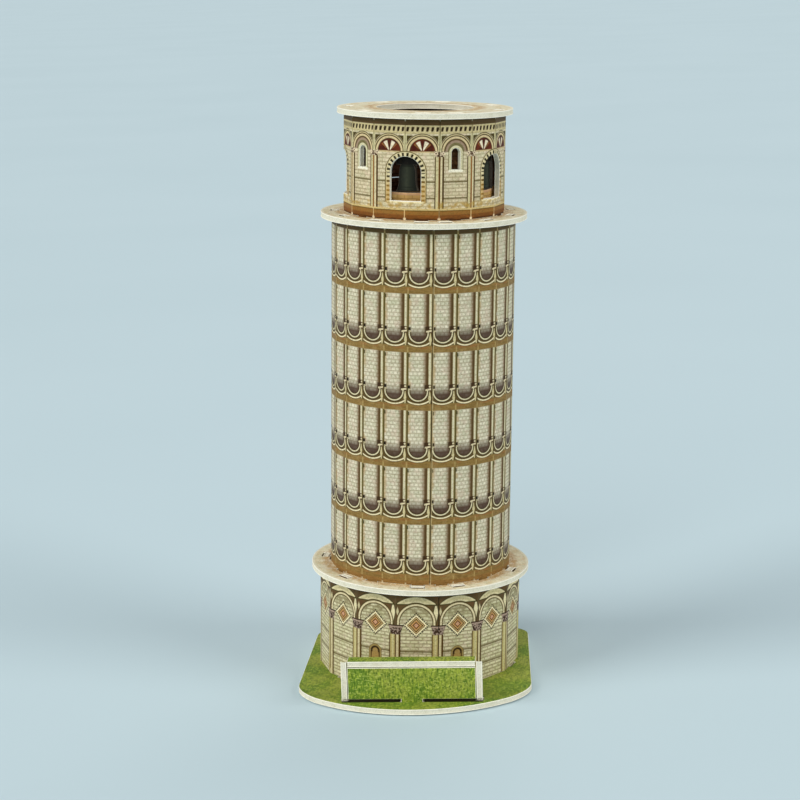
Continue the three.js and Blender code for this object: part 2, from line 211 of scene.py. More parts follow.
def edge_profile():
    """(depth below the print, distance into the board, material) down a cut edge."""
    return [
        (0.0, EDGE_SOFTENING, PAPER_SLOT),
        (EDGE_SOFTENING, 0.0, PAPER_SLOT),
        (PAPER, 0.0, PAPER_SLOT),
        (PAPER + FOAM_STEP, FOAM_RECESS, FOAM_SLOT),
        (BOARD / 2, FOAM_RECESS * 1.25, FOAM_SLOT),
        (BOARD - PAPER - FOAM_STEP, FOAM_RECESS, PAPER_SLOT),
        (BOARD - PAPER, 0.0, PAPER_SLOT),
        (BOARD - EDGE_SOFTENING, 0.0, PAPER_SLOT),
        (BOARD, EDGE_SOFTENING, PAPER_SLOT),
    ]


def make_board(name, node, loops, place, finishes, folds=()):
    """Board of the given flat loops. place(u, v, depth) gives its point in space, in mm.

    The print's colour is carried round onto the two cut ends of a folded strip, where they meet in a seam, as
    painted shade for the dark gap there.
    """
    flat, faces = triangulate(loops, folds)
    rim = sorted(rim_of(faces))
    steps = inward_steps(flat, rim)
    ends = (min(p.x for p in flat), max(p.x for p in flat))
    seams = {edge for edge in rim for end in ends if folds and all(abs(flat[i].x - end) < 0.01 for i in edge)}
    profile = edge_profile()
    verts, uvs, polygons, materials = [], [], [], []

    def add_vertex(point, depth):
        verts.append(Vector(place(point.x, point.y, depth)) * MM)
        uvs.append((point.x, point.y))
        return len(verts) - 1

    rings = []
    for depth, inset, _ in profile:
        rings.append({i: add_vertex(flat[i] + steps[i] * inset, depth) for i in sorted(steps)})
    top, bottom = dict(rings[0]), dict(rings[-1])
    for i, point in enumerate(flat):
        if i not in steps:
            top[i] = add_vertex(point, 0.0)
            bottom[i] = add_vertex(point, BOARD)
    for face in faces:
        polygons.append([top[i] for i in face])
        materials.append(PRINT_SLOT)
        polygons.append([bottom[i] for i in reversed(face)])
        materials.append(BACK_SLOT)
    for level in range(len(profile) - 1):
        upper, lower = rings[level], rings[level + 1]
        for a, b in rim:
            polygons.append([upper[b], upper[a], lower[a], lower[b]])
            # the cut ends at a seam take the print's colour: painted shade in the seam's gap
            materials.append(PRINT_SLOT if (a, b) in seams else profile[level][2])

    mesh = bpy.data.meshes.new(name)
    mesh.from_pydata([tuple(v) for v in verts], [], polygons)
    layer = mesh.uv_layers.new(name="Print")
    for loop in mesh.loops:
        layer.data[loop.index].uv = uvs[loop.vertex_index]
    for finish in finishes:
        mesh.materials.append(finish)
    for polygon, material in zip(mesh.polygons, materials):
        polygon.material_index = material
    mesh.validate()
    mesh.update()
    board = bpy.data.objects.new(name, mesh)
    bpy.context.scene.collection.objects.link(board)
    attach(board, "root")
    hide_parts(node)
    return board


# ------------------------------------------------------------------ flat outlines


def tabbed_edge(start, end, level, reach, centres, width):
    """Points along a straight edge from start to end, stepping out to reach at each tab."""
    points = []
    way = 1 if end > start else -1
    for centre in sorted(centres, reverse=way < 0):
        a, b = centre - way * width / 2, centre + way * width / 2
        points += [(a, level), (a, reach), (b, reach), (b, level)]
    return points


def wall_outline(storey, first, last, tabs_up, tabs_down, rise=TAB_RISE):
    """Flat strip of a folded wall with its tabs; u runs from the first fold, v from its floor."""
    width = face_width(storey)
    left, right = SEAM_GAP / 2, (last + 1 - first) * width - SEAM_GAP / 2
    low, high = SEAT, storey["height"] - SEAT

    def centres(tabs):
        return [(index - first + 0.5) * width for index in tabs]

    bottom = tabbed_edge(left, right, low, -BOARD, centres(tabs_down), TAB_WIDTH)
    top = tabbed_edge(right, left, high, storey["height"] + BOARD + rise, centres(tabs_up), TAB_WIDTH)
    return [(left, low)] + bottom + [(right, low), (right, high)] + top + [(left, high)]


def ground_outline():
    """The ground wall's strip: its foot is cut so that it stands level while the wall leans."""
    width, slope = face_width(GROUND), math.tan(math.radians(LEAN))
    last = GROUND["faces"] * width

    def foot(u):
        """How far the level cut lies above the strip's own floor."""
        fold = math.floor(u / width)
        angle = GROUND["fold_at"] + TURN + fold * 360 / GROUND["faces"]
        a, b = (around(GROUND["radius"], angle + k * 360 / GROUND["faces"]) for k in (0, 1))
        return a.lerp(b, u / width - fold).x * slope

    points = [(SEAM_GAP / 2, SEAT + foot(0.1))]
    for face in range(GROUND["faces"]):
        if face in GROUND_TABS:
            tab_end = FOOT_SHORT - BOARD
            for side, low in ((-0.5, SEAT), (-0.5, tab_end), (0.5, tab_end), (0.5, SEAT)):
                u = (face + 0.5) * width + side * TAB_WIDTH
                points.append((u, low + foot(u)))
        if face < GROUND["faces"] - 1:
            points.append(((face + 1) * width, SEAT + foot((face + 1) * width)))
    points.append((last - SEAM_GAP / 2, SEAT + foot(last - 0.1)))
    top = wall_outline(GROUND, 0, GROUND["faces"] - 1, GROUND_TABS, [])
    return points + [point for point in top if point[1] > BOARD]


def arch_loop(centre, opening, stretch):
    """Round-headed opening on a fold or a face, widened where it runs over a fold."""
    half = opening["width"] / 2
    spring = opening["top"] - half
    loop = [(centre - half * stretch, opening["sill"]), (centre + half * stretch, opening["sill"])]
    for step in range(ARC_STEPS + 1):
        a = math.pi * step / ARC_STEPS
        loop.append((centre + half * math.cos(a) * stretch, spring + half * math.sin(a)))
    return loop


def bezier(a, b, c, steps=6):
    """Points of a quadratic curve after its first point."""
    points = []
    for step in range(1, steps + 1):
        t = step / steps
        points.append(tuple((1 - t) ** 2 * a[i] + 2 * t * (1 - t) * b[i] + t * t * c[i] for i in (0, 1)))
    return points


def bell_side():
    """Right side of the hanging bell from its rim up to its shoulder, rim at height 0."""
    rim, waist = BELL["rim"] / 2, BELL["waist"] / 2
    shoulder, tall = BELL["shoulder"] / 2, BELL["height"]
    side = [(rim, 0.0)]
    side += bezier((rim, 0.0), (waist, tall * 0.15), (waist, tall * 0.45))
    side += bezier((waist, tall * 0.45), (waist, tall * 0.9), (shoulder, tall))
    return side


def belled_loop(centre, stretch):
    """Door opening with a bell left hanging in it, as one loop."""
    half = LINING_DOOR["width"] / 2
    spring = LINING_DOOR["top"] - half
    stock = BELL["stock"] / 2
    meets = math.acos(stock / half)
    loop = [(-half, LINING_DOOR["sill"]), (half, LINING_DOOR["sill"])]
    for step in range(SHORT_ARC_STEPS + 1):
        a = meets * step / SHORT_ARC_STEPS
        loop.append((half * math.cos(a), spring + half * math.sin(a)))
    side = [(x, y + BELL["bottom"]) for x, y in bell_side()]
    loop.append((stock, BELL["bottom"] + BELL["height"]))
    loop += list(reversed(side))
    loop += [(-x, y) for x, y in side]
    loop.append((-stock, BELL["bottom"] + BELL["height"]))
    for step in range(SHORT_ARC_STEPS + 1):
        a = math.pi - meets + meets * step / SHORT_ARC_STEPS
        loop.append((half * math.cos(a), spring + half * math.sin(a)))
    return [(centre + x * stretch, y) for x, y in loop]


def fold_lines(storey, count):
    """Upright lines that split a strip at its folds, with room to round each fold."""
    width = face_width(storey)
    lines = []
    for fold in range(1, count):
        lines += [fold * width + FOLD_ROUNDING * t for t in (-1, -0.5, 0, 0.5, 1)]
    return lines


def folded(storey, first=0, cut_folds=(), cut=None):
    """Maps a flat strip onto the storey's faces; depth runs inwards from the print.

    Openings on the folds listed in cut_folds are cut straight through, along the radius.
    """
    width = face_width(storey)
    step = 360 / storey["faces"]
    mitre = BOARD * math.tan(math.pi / storey["faces"])

    def fold_point(fold):
        return around(storey["radius"], storey["fold_at"] + (first + fold) * step)

    def on_face(face, along, depth):
        a, b = fold_point(face), fold_point(face + 1)
        direction = (b - a).normalized()
        inwards = Vector((-direction.y, direction.x))
        return a + direction * along + inwards * depth

    def outer(u):
        fold = round(u / width)
        offset = u - fold * width
        if abs(offset) >= FOLD_ROUNDING:
            face = math.floor(u / width)
            return on_face(face, u - face * width, 0)
        t = (offset / FOLD_ROUNDING + 1) / 2
        before = on_face(fold - 1, width - FOLD_ROUNDING, 0)
        after = on_face(fold, FOLD_ROUNDING, 0)
        return before * (1 - t) ** 2 + fold_point(fold) * 2 * t * (1 - t) + after * t * t

    def place(u, v, depth):
        face = math.floor(u / width)
        local = u - face * width
        along = min(max(local, mitre), width - mitre)
        if cut and cut["sill"] - 1 < v < cut["top"] + 1:
            reach = cut["width"] * 0.6
            if face in cut_folds and local < reach:
                along = local + mitre
            elif face + 1 in cut_folds and width - local < reach:
                along = local - mitre
        printed = outer(u)
        back = on_face(face, along, BOARD)
        point = printed.lerp(back, depth / BOARD)
        return point.x, point.y, storey["floor"] + v

    return place


def flat_top(level):
    """Maps a flat outline onto a level board whose print is its top."""
    return lambda u, v, depth: (u, v, level - depth)


def circle(radius):
    return [tuple(around(radius, 360 * i / RIM_STEPS)) for i in range(RIM_STEPS)]


def slot_loop(radius, angle, width, along_radius=False, lead=0.0):
    long, short = width / 2 + SLOT_GAP, BOARD / 2 + SLOT_GAP
    x, y = (short, long) if along_radius else (long, short)
    turn = Matrix.Rotation(math.radians(angle), 2)
    corners = [(-x, -radius - y - lead), (-x, -radius + y), (x, -radius + y), (x, -radius - y - lead)]
    return [tuple(turn @ Vector(corner)) for corner in corners]


def tab_slots(storey, indices, lead=SLOT_LEAD, turn=0.0):
    radius = slot_radius(storey)
    return [slot_loop(radius, face_angle(storey, i) + turn, TAB_WIDTH, lead=lead) for i in indices]


def spine_slots():
    return [slot_loop(SPINE["offset"], angle, SPINE["tab"], True) for angle in (0, 90, 180, 270)]


def bowed_edge(half_width, y, bow):
    rise = bow - y
    radius = (half_width * half_width + rise * rise) / (2 * rise)
    return lambda x: bow - radius + math.copysign(math.sqrt(radius * radius - x * x), radius)


def base_outline():
    front = bowed_edge(BASE["front_x"], BASE["front_y"], BASE["front_bow"])
    back = bowed_edge(BASE["back_x"], BASE["back_y"], BASE["back_bow"])
    fx, fy, fr = BASE["front_x"], BASE["front_y"], BASE["front_rounding"]
    bx, by, br = BASE["back_x"], BASE["back_y"], BASE["back_rounding"]
    front_end, back_end = fx - fr, bx - br
    steps = BOW_STEPS
    loop = [(x, front(x)) for x in (front_end * (2 * i / steps - 1) for i in range(steps + 1))]
    loop += bezier((front_end, front(front_end)), (fx, fy), (fx, fy + fr), 10)
    loop.append((bx, by - br))
    loop += bezier((bx, by - br), (bx, by), (back_end, back(back_end)), 10)
    loop += [(x, back(x)) for x in (back_end * (1 - 2 * i / steps) for i in range(1, steps + 1))]
    loop += bezier((-back_end, back(back_end)), (-bx, by), (-bx, by - br), 10)
    loop.append((-fx, fy + fr))
    loop += bezier((-fx, fy + fr), (-fx, fy), (-front_end, front(front_end)), 10)[:-1]
    return loop


# ------------------------------------------------------------------ print language

EDGE_BLUR = 0.14  # width of a printed edge's transition
PRINT_SPECULAR = 0.12
BUMP_HEIGHT = 0.00008  # metres


def srgb(red, green, blue):
    def linear(value):
        value /= 255
        return value / 12.92 if value <= 0.04045 else ((value + 0.055) / 1.055) ** 2.4
    return (linear(red), linear(green), linear(blue), 1.0)


class Number:
    """A number that varies over a print. What is done to it adds nodes to the print."""

    def __init__(self, art, socket):
        self.art, self.socket = art, socket

    def __add__(self, other):
        return self.art.math("ADD", self, other)

    def __sub__(self, other):
        return self.art.math("SUBTRACT", self, other)

    def __rsub__(self, other):
        return self.art.math("SUBTRACT", other, self)

    def __mul__(self, other):
        return self.art.math("MULTIPLY", self, other)

    def __truediv__(self, other):
        return self.art.math("DIVIDE", self, other)

    def __abs__(self):
        return self.art.math("ABSOLUTE", self)

    __radd__ = __add__
    __rmul__ = __mul__

    def ramp(self, low, high):
        """0 at low, 1 at high, held outside them."""
        gain = 1 / (high - low)
        return self.art.math("MULTIPLY_ADD", self, gain, -low * gain, clamp=True)

    def below(self, limit, soft=EDGE_BLUR):
        return self.ramp(limit + soft / 2, limit - soft / 2)

    def above(self, limit, soft=EDGE_BLUR):
        return self.ramp(limit - soft / 2, limit + soft / 2)

    def between(self, low, high, soft=EDGE_BLUR):
        return abs(self - (low + high) / 2).below((high - low) / 2, soft)

    def fraction(self, period):
        return self.art.math("FLOORED_MODULO", self, period)

    def floor(self):
        return self.art.math("FLOOR", self)

    def from_fold(self, period):
        """Distance to the nearest multiple of period."""
        return self.art.math("PINGPONG", self, period / 2)


class Art:
    """A printed material, painted in layers from the back to the front. Colours are sRGB, 0 to 255."""

    def __init__(self, name, ground, roughness=0.5):
        self.material = bpy.data.materials.new(name)
        self.material.use_nodes = True
        self.nodes = self.material.node_tree.nodes
        self.links = self.material.node_tree.links
        self.shader = self.nodes["Principled BSDF"]
        self.shader.inputs["Roughness"].default_value = roughness
        self.shader.inputs["Specular IOR Level"].default_value = PRINT_SPECULAR
        self.colour = srgb(*ground)

    def feed(self, socket, value):
        """Gives a node's input a number, a colour or the result of another node."""
        if isinstance(value, Number):
            value = value.socket
        if isinstance(value, bpy.types.NodeSocket):
            self.links.new(value, socket)
        else:
            socket.default_value = value

    def math(self, operation, *values, clamp=False):
        node = self.nodes.new("ShaderNodeMath")
        node.operation = operation
        node.use_clamp = clamp
        for socket, value in zip(node.inputs, values):
            self.feed(socket, value)
        return Number(self, node.outputs[0])

    def uv(self):
        node = self.nodes.new("ShaderNodeUVMap")
        node.uv_map = "Print"
        self.space = node.outputs[0]
        split = self.nodes.new("ShaderNodeSeparateXYZ")
        self.feed(split.inputs[0], self.space)
        return Number(self, split.outputs[0]), Number(self, split.outputs[1])

    def object_space(self):
        self.space = self.nodes.new("ShaderNodeTexCoord").outputs["Object"]

    def noise(self, scale, detail=2.0, stretch=(1, 1, 1), shift=0.0):
        """Cloudy noise, scale in features per unit of the print's coordinates."""
        mapping = self.nodes.new("ShaderNodeMapping")
        mapping.inputs["Scale"].default_value = [s * scale for s in stretch]
        mapping.inputs["Location"].default_value = (shift, shift * 1.7, shift * 0.3)
        self.feed(mapping.inputs[0], self.space)
        node = self.nodes.new("ShaderNodeTexNoise")
        node.inputs["Scale"].default_value = 1.0
        node.inputs["Detail"].default_value = detail
        self.feed(node.inputs["Vector"], mapping.outputs[0])
        return Number(self, node.outputs["Fac"])

    def chance(self, x, y):
        """A random number for each whole pair of x and y."""
        combine = self.nodes.new("ShaderNodeCombineXYZ")
        for socket, value in zip(combine.inputs, (x, y)):
            self.feed(socket, value)
        node = self.nodes.new("ShaderNodeTexWhiteNoise")
        node.noise_dimensions = "2D"
        self.feed(node.inputs["Vector"], combine.outputs[0])
        return Number(self, node.outputs["Value"])

    def distance(self, x, y):
        return self.math("SQRT", self.math("MULTIPLY_ADD", x, x, y * y))

    def either(self, a, b):
        return self.math("MAXIMUM", a, b)

    def lesser(self, a, b):
        return self.math("MINIMUM", a, b)

    def paint(self, mask, colour):
        node = self.nodes.new("ShaderNodeMix")
        node.data_type = "RGBA"
        node.clamp_factor = True
        sockets = {socket.identifier: socket for socket in node.inputs}
        self.feed(sockets["Factor_Float"], mask)
        self.feed(sockets["A_Color"], self.colour)
        self.feed(sockets["B_Color"], srgb(*colour))
        self.colour = next(s for s in node.outputs if s.identifier == "Result_Color")

    def speckle(self, dark, strength=0.3):
        """Fine irregular toning, as of a halftone print seen close."""
        fine = self.noise(1.7, 3.0, stretch=(1.0, 1.2, 1), shift=12.0)
        self.paint(fine.ramp(0.5, 0.66) * strength, dark)

    def brick_layer(self, x, y, course, length, mask, tones, joint=0.3, soft=0.3, darkest=0.65):
        """Bricks in half bond where mask is set; tones are (stone, second stone, joint)."""
        row = (y / course).floor()
        shifted = x / length + self.math("PINGPONG", row, 1.0) * 0.5
        tone = self.chance(shifted.floor(), row)
        bed = y.from_fold(course).below(joint / 2, soft)
        head = shifted.from_fold(1.0).below(joint / 2 / length, soft / length)
        self.paint(mask, tones[0])
        self.paint(mask * tone * 0.85, tones[1])
        self.paint(mask * self.either(bed, head * 0.8) * darkest, tones[2])

    def finish(self, bump=0.0, bump_scale=1.0):
        self.feed(self.shader.inputs["Base Color"], self.colour)
        if bump:
            grain = self.noise(bump_scale, 4.0, shift=3.1)
            node = self.nodes.new("ShaderNodeBump")
            node.inputs["Strength"].default_value = bump
            node.inputs["Distance"].default_value = BUMP_HEIGHT
            self.feed(node.inputs["Height"], grain)
            self.feed(self.shader.inputs["Normal"], node.outputs[0])
        return self.material


# In the prints, u runs across the strip and v up it, in millimetres. d and s are measured down from
# the top of the strip or of a storey, a runs across one face from its left fold, x starts at the
# middle of an arch and near at a fold. A mask is 1 where ink goes and 0 elsewhere.

# inks that have a name
CREAM = (232, 220, 182)
OLIVE = (112, 104, 58)
DARK_OLIVE = (66, 60, 26)
BROWN = (98, 76, 44)
NEAR_BLACK = (26, 20, 12)
STONE = (234, 226, 200)
GREEN_STONE = (206, 202, 172)
JOINT = (132, 112, 76)

# ------------------------------------------------------------------ shaft print

SHAFT_STOREY = 20.9
SHAFT_STOREYS = 6
SHAFT_TOP_BAND = 2.2
NICHE = {"middle": 3.85, "spring": 14.1, "radius": 3.32, "line": 0.4}
SCALLOP = {"radius": 6.7, "bottom": 18.65}


def shaft_print():
    art = Art("shaft_print", (140, 112, 60))
    u, v = art.uv()
    width = face_width(SHAFT)
    down = (SHAFT["height"] - SHAFT_TOP_BAND) - v
    a = u.fraction(width)
    s = down.fraction(SHAFT_STOREY)
    x = a - NICHE["middle"]
    tint = art.noise(0.22, 3.0)
    blotch = art.noise(0.45, 3.0, shift=5.0)

    # golden band with faint horizontal streaks
    streak = art.noise(1.0, 2.0, stretch=(0.35, 2.6, 1), shift=2.0)
    art.paint(streak.ramp(0.45, 0.7) * 0.7, (114, 88, 44))
    art.paint(blotch.ramp(0.5, 0.66) * 0.5, (160, 134, 84))
    art.paint(s.between(18.7, 19.6, 0.5) * tint.ramp(0.48, 0.6) * 0.6, (150, 98, 52))

    # masonry of the wall behind the columns
    niche = art.distance(x, s - NICHE["spring"])
    in_cell = art.either(s.below(NICHE["spring"]), niche.below(NICHE["radius"]))
    in_cell = in_cell * s.below(18.0) * s.above(0.0, 0.3)
    art.paint(s.below(18.4) * s.above(0.0, 0.2), OLIVE)
    art.brick_layer(a + 0.35, s, 1.38, 1.55, in_cell, (STONE, GREEN_STONE, JOINT), 0.34, 0.45, 0.72)
    art.paint(in_cell * tint.ramp(0.52, 0.66) * 0.3, (178, 184, 146))
    art.paint(in_cell * blotch.ramp(0.52, 0.66) * 0.45, (204, 180, 158))
    # warm light on the left of the bay, reddish shade on its right
    art.paint(in_cell * a.below(1.15, 0.9) * blotch.ramp(0.34, 0.56) * 0.7, (182, 150, 98))
    art.paint(in_cell * a.above(5.8, 1.3) * 0.85, (112, 80, 42))
    # soft dark at the niche's bottom
    art.paint(in_cell * s.ramp(11.6, 15.2) * 0.93, (70, 44, 32))
    art.paint(in_cell * s.ramp(14.6, 17.0) * blotch.ramp(0.42, 0.6) * 0.6, (54, 32, 26))

    # upright members at the fold: shadow, column, joint line
    upright = s.above(0.0, 0.2) * s.below(12.9, 0.3)
    art.paint(upright * a.between(6.55, 7.6, 0.7) * 0.95, (78, 56, 24))
    column = s.above(0.0, 0.2) * s.below(11.5, 0.2) * a.between(7.42, 8.46, 0.16)
    art.paint(column, (172, 158, 114))
    art.paint(column * a.between(7.66, 8.16, 0.35), (224, 216, 184))
    art.paint(column * tint.ramp(0.5, 0.62) * 0.3, (200, 198, 158))
    line = art.either(a.below(0.42, 0.16), a.above(8.52, 0.12))
    art.paint(line * s.above(0.0, 0.2) * s.below(18.2), (92, 80, 36))
    art.paint(a.between(0.34, 0.8, 0.2) * s.between(0.4, 1.7, 0.3) * 0.9, (48, 50, 24))

    # capital: dark block, bright bead, curved bar
    art.paint(a.between(6.1, 8.35, 0.5) * s.between(11.55, 14.1, 0.4) * 0.95, (58, 38, 18))
    art.paint(a.between(0.1, 1.1, 0.4) * s.between(11.7, 14.0, 0.4) * 0.8, (74, 56, 26))
    art.paint(a.between(0.15, 0.95, 0.3) * s.between(11.9, 13.4, 0.3), NEAR_BLACK)
    bead = art.distance(a - 8.0, s - 12.15)
    art.paint(bead.below(0.34, 0.3), (226, 212, 170))
    slope = s - (a - 7.4) * -0.22
    art.paint(a.between(6.45, 8.4, 0.2) * slope.between(12.95, 13.6, 0.22), (222, 206, 166))
    art.paint(a.between(0.3, 1.15, 0.2) * s.between(13.0, 13.5, 0.25), (196, 182, 142))
    art.paint(a.between(6.6, 8.3, 0.2) * slope.between(13.6, 13.95, 0.2), (84, 64, 40))

    # lower part: posts between the niches, niche ring, flat scallop
    lower = s.above(13.9, 0.2) * s.below(18.3, 0.3)
    post_width = 0.5 - abs(s - 16.3) * 0.16
    post = (abs(a - 7.95) - post_width).below(0.0, 0.16)
    outside = niche.above(NICHE["radius"] + 0.3, 0.2)
    art.paint(lower * outside, (90, 72, 34))
    art.paint(lower * outside * post, (206, 192, 144))
    below_spring = s.above(NICHE["spring"] - 0.5, 0.2)
    ring = abs(niche - NICHE["radius"])
    legs = abs(abs(x) - NICHE["radius"])
    ring = art.lesser(ring + s.below(NICHE["spring"], 0.1) * 9, legs + s.above(NICHE["spring"], 0.1) * 9)
    dark_ring = abs(ring).below(0.56, 0.2)
    art.paint(dark_ring * below_spring * s.below(18.3, 0.3), (64, 52, 26))
    art.paint(ring.below(NICHE["line"] / 2 + 0.02, 0.16) * below_spring, (222, 210, 170))
    bow = art.distance(x, s - (SCALLOP["bottom"] - SCALLOP["radius"]))
    near_bow = s.above(16.9, 0.2) * a.between(0.15, 7.75, 0.3)
    art.paint(near_bow * bow.between(6.2, 7.1, 0.3), (78, 62, 30))
    art.paint(near_bow * bow.between(6.44, 6.92, 0.16), (236, 222, 180))

    # plain band below the last storey, and the paper's cut edge at the seam
    foot = SHAFT["height"] - SHAFT_TOP_BAND - SHAFT_STOREYS * SHAFT_STOREY
    art.paint(v.below(foot + 0.1, 0.2), (148, 112, 60))
    art.paint(v.below(foot + 0.1, 0.2) * streak.ramp(0.45, 0.7) * 0.6, (112, 78, 40))
    art.paint(u.between(0.2, 0.46, 0.16) * s.above(0.0, 0.2) * 0.6, (206, 186, 140))

    # brown band under the plate, darkened as painted shadow of the plate above, with pale nicks where the
    # folds begin
    top = v.above(SHAFT["height"] - SHAFT_TOP_BAND, 0.2)
    art.paint(top, (88, 72, 40))
    art.paint(top * streak.ramp(0.45, 0.62) * 0.5, (104, 70, 44))
    near_fold = u.from_fold(width).below(0.28, 0.25)
    art.paint(near_fold * s.above(18.9, 0.3) * 0.5, (188, 164, 106))
    art.paint(near_fold * v.above(SHAFT["height"] - 0.9, 0.5) * 0.75, (196, 192, 176))
    art.paint(near_fold * v.below(0.8, 0.5) * 0.75, (214, 202, 168))
    art.speckle((84, 64, 30), 0.32)
    return art.finish(0.12, 1.6)


# ------------------------------------------------------------------ ground storey print

GROUND_ARCH = {"spring": 11.0, "radius": 6.55}
LOZENGE = {"middle": 12.1, "reach": 3.75}
PRINTED_DOOR_FACES = (13, 0)


def ground_print():
    art = Art("ground_print", BROWN)
    u, v = art.uv()
    width = face_width(GROUND)
    d = (GROUND["height"] - SEAT) - v
    a = u.fraction(width)
    x = a - (width / 2 - 0.25)
    tint = art.noise(0.2, 3.0)
    blotch = art.noise(0.5, 3.0, shift=4.0)
    art.paint(blotch.ramp(0.45, 0.65) * 0.6, (70, 58, 40))
    art.paint(tint.ramp(0.5, 0.62) * 0.45, (104, 66, 40))

    # eyebrow over each arch
    arch = art.distance(x, d - GROUND_ARCH["spring"])
    brow = art.distance(x, d - 12.6)
    eyebrow = brow.below(11.1, 0.2) * d.below(4.1, 0.2) * arch.above(7.5, 0.2)
    eyebrow = eyebrow * abs(x).below(6.9, 0.3)
    art.paint(brow.below(11.4, 0.3) * d.below(4.5, 0.3) * arch.above(7.1, 0.2), DARK_OLIVE)
    art.paint(eyebrow, (226, 212, 166))
    art.paint(eyebrow * brow.between(9.8, 10.4, 0.6) * 0.45, (168, 154, 104))

    # spears above the capitals
    side = abs((u + width / 2).fraction(width) - width / 2 + 0.95)
    lens = side + abs(d - 7.2) * 0.2
    art.paint(lens.below(1.15, 0.2) * d.between(4.6, 12.0, 0.2), DARK_OLIVE)
    art.paint(lens.below(0.82, 0.2) * d.between(4.6, 12.0, 0.2), (228, 216, 172))
    other = abs((u + width / 2).fraction(width) - width / 2 - 0.75)
    lens2 = other + abs(d - 6.9) * 0.3
    art.paint(lens2.below(0.5, 0.2), (206, 194, 150))

    # masonry inside the arch and below it
    reach = abs(x)
    legs = reach.below(GROUND_ARCH["radius"], 0.2) * d.above(GROUND_ARCH["spring"], 0.1)
    field = art.either(arch.below(GROUND_ARCH["radius"], 0.2), legs)
    tones = ((228, 222, 184), (198, 192, 150), (116, 96, 56))
    art.brick_layer(a + 0.6, d + 0.2, 1.28, 3.0, field, tones, 0.38, 0.42, 0.85)
    art.paint(field * tint.ramp(0.52, 0.66) * 0.35, (190, 192, 142))
    art.paint(field * blotch.ramp(0.52, 0.66) * 0.5, (206, 188, 162))
    upper = d.below(9.5, 5.0)
    art.paint(field * upper * blotch.ramp(0.36, 0.58) * 0.8, (134, 124, 84))

    # arch ring
    ring = abs(arch - GROUND_ARCH["radius"])
    stilt = abs(reach - GROUND_ARCH["radius"])
    over = d.below(GROUND_ARCH["spring"], 0.1)
    ring = art.lesser(ring + (1 - over) * 9, stilt + over * 9)
    above_capital = d.below(12.4, 0.2)
    art.paint(ring.below(0.72, 0.25) * above_capital, (74, 58, 26))
    art.paint(ring.below(0.36, 0.18) * above_capital, (212, 196, 150))
    art.paint(ring.below(0.12, 0.2) * above_capital * 0.6, (244, 234, 202))

    # lozenge of concentric squares with a dotted rim
    lx = abs(x)
    ly = abs(d - LOZENGE["middle"])
    lozenge = lx + ly
    turned = abs(lx - ly)
    dots = (turned + 0.2).from_fold(1.05).above(0.24, 0.2)
    reach_out = LOZENGE["reach"]
    art.paint(lozenge.below(reach_out + 1.15, 0.2) * dots, (20, 14, 6))
    art.paint(lozenge.below(reach_out + 0.3, 0.2), (244, 230, 184))
    art.paint(lozenge.below(reach_out - 0.4, 0.2), (62, 40, 14))
    art.paint(lozenge.below(reach_out - 0.75, 0.2), (206, 172, 112))
    marks = turned.from_fold(0.85).above(0.12, 0.2)
    art.paint(lozenge.between(1.95, 2.65, 0.2) * marks, (48, 28, 8))
    art.paint(lozenge.below(1.85, 0.3), (196, 142, 84))
    art.paint(lozenge.between(0.9, 1.35, 0.2), (58, 34, 12))
    art.paint(lozenge.below(0.85, 0.4), (206, 156, 122))

    # course lines
    low = d.above(16.0, 0.2)
    art.paint(low * d.between(21.75, 22.35, 0.25) * 0.85, (96, 84, 44))
    art.paint(low * d.between(28.2, 28.8, 0.25) * 0.85, (96, 84, 44))

    # small printed doors on the two faces beside the front
    face = (u / width).floor()
    for index in PRINTED_DOOR_FACES:
        here = abs(face - index).below(0.5, 0.1)
        head = art.distance(x, d - 22.9)
        jamb = art.lesser(head + d.above(22.9, 0.1) * 9, lx + d.below(22.9, 0.1) * 9)
        art.paint(here * jamb.below(2.6, 0.25), (120, 100, 52))
        art.paint(here * jamb.between(1.95, 2.35, 0.2), (164, 142, 86))
        art.paint(here * jamb.below(1.75, 0.2), (72, 50, 20))
        art.paint(here * (jamb + (d - 26.0) * -0.06).below(1.5, 0.25), (168, 138, 78))
        art.paint(here * head.below(1.7, 0.2) * head.above(1.1, 0.3) * d.below(23.4, 0.4), (48, 32, 12))
        art.paint(here * lx.below(1.2, 0.3) * d.above(29.0, 1.2) * 0.6, (128, 78, 28))

    # columns and capitals on the folds
    column = d.above(15.4, 0.2)
    near = (u + width / 2).fraction(width) - width / 2
    art.paint(column * near.between(-2.4, 1.95, 0.16), (80, 56, 20))
    art.paint(column * near.between(-2.0, -0.2, 0.16), (188, 172, 112))
    art.paint(column * near.between(-1.25, -0.7, 0.6) * 0.75, (214, 208, 158))
    art.paint(column * near.between(0.25, 1.25, 0.16), (196, 180, 132))
    art.paint(column * near.between(0.5, 0.95, 0.3) * 0.7, (232, 220, 182))
    taper = abs(near) - (15.8 - d) * 0.28
    capital = d.between(12.1, 15.6, 0.2) * taper.below(1.75, 0.3)
    art.paint(capital, (58, 40, 30))
    leaf = art.noise(1.6, 2.0, shift=9.0)
    art.paint(capital * leaf.ramp(0.46, 0.6), (170, 148, 132))
    art.paint(d.between(11.95, 12.45, 0.16) * abs(near).below(2.8, 0.2), (58, 40, 26))
    art.paint(d.between(12.45, 13.0, 0.2) * abs(near).below(2.4, 0.3) * 0.8, (180, 156, 138))

    # fold line and its pale nicks
    fold = abs(near).below(0.2, 0.2)
    art.paint(fold * d.below(12.0, 0.3) * 0.55, (96, 84, 58))
    art.paint(fold * v.above(GROUND["height"] - 1.0, 0.6) * 0.7, (204, 196, 168))
    art.paint(fold * v.below(0.9, 0.5) * 0.8, (226, 216, 184))
    art.speckle((90, 70, 34), 0.34)
    return art.finish(0.12, 1.6)


# ------------------------------------------------------------------ belfry print

BELFRY_ARCH = {"spring": 11.3, "radius": 5.35}


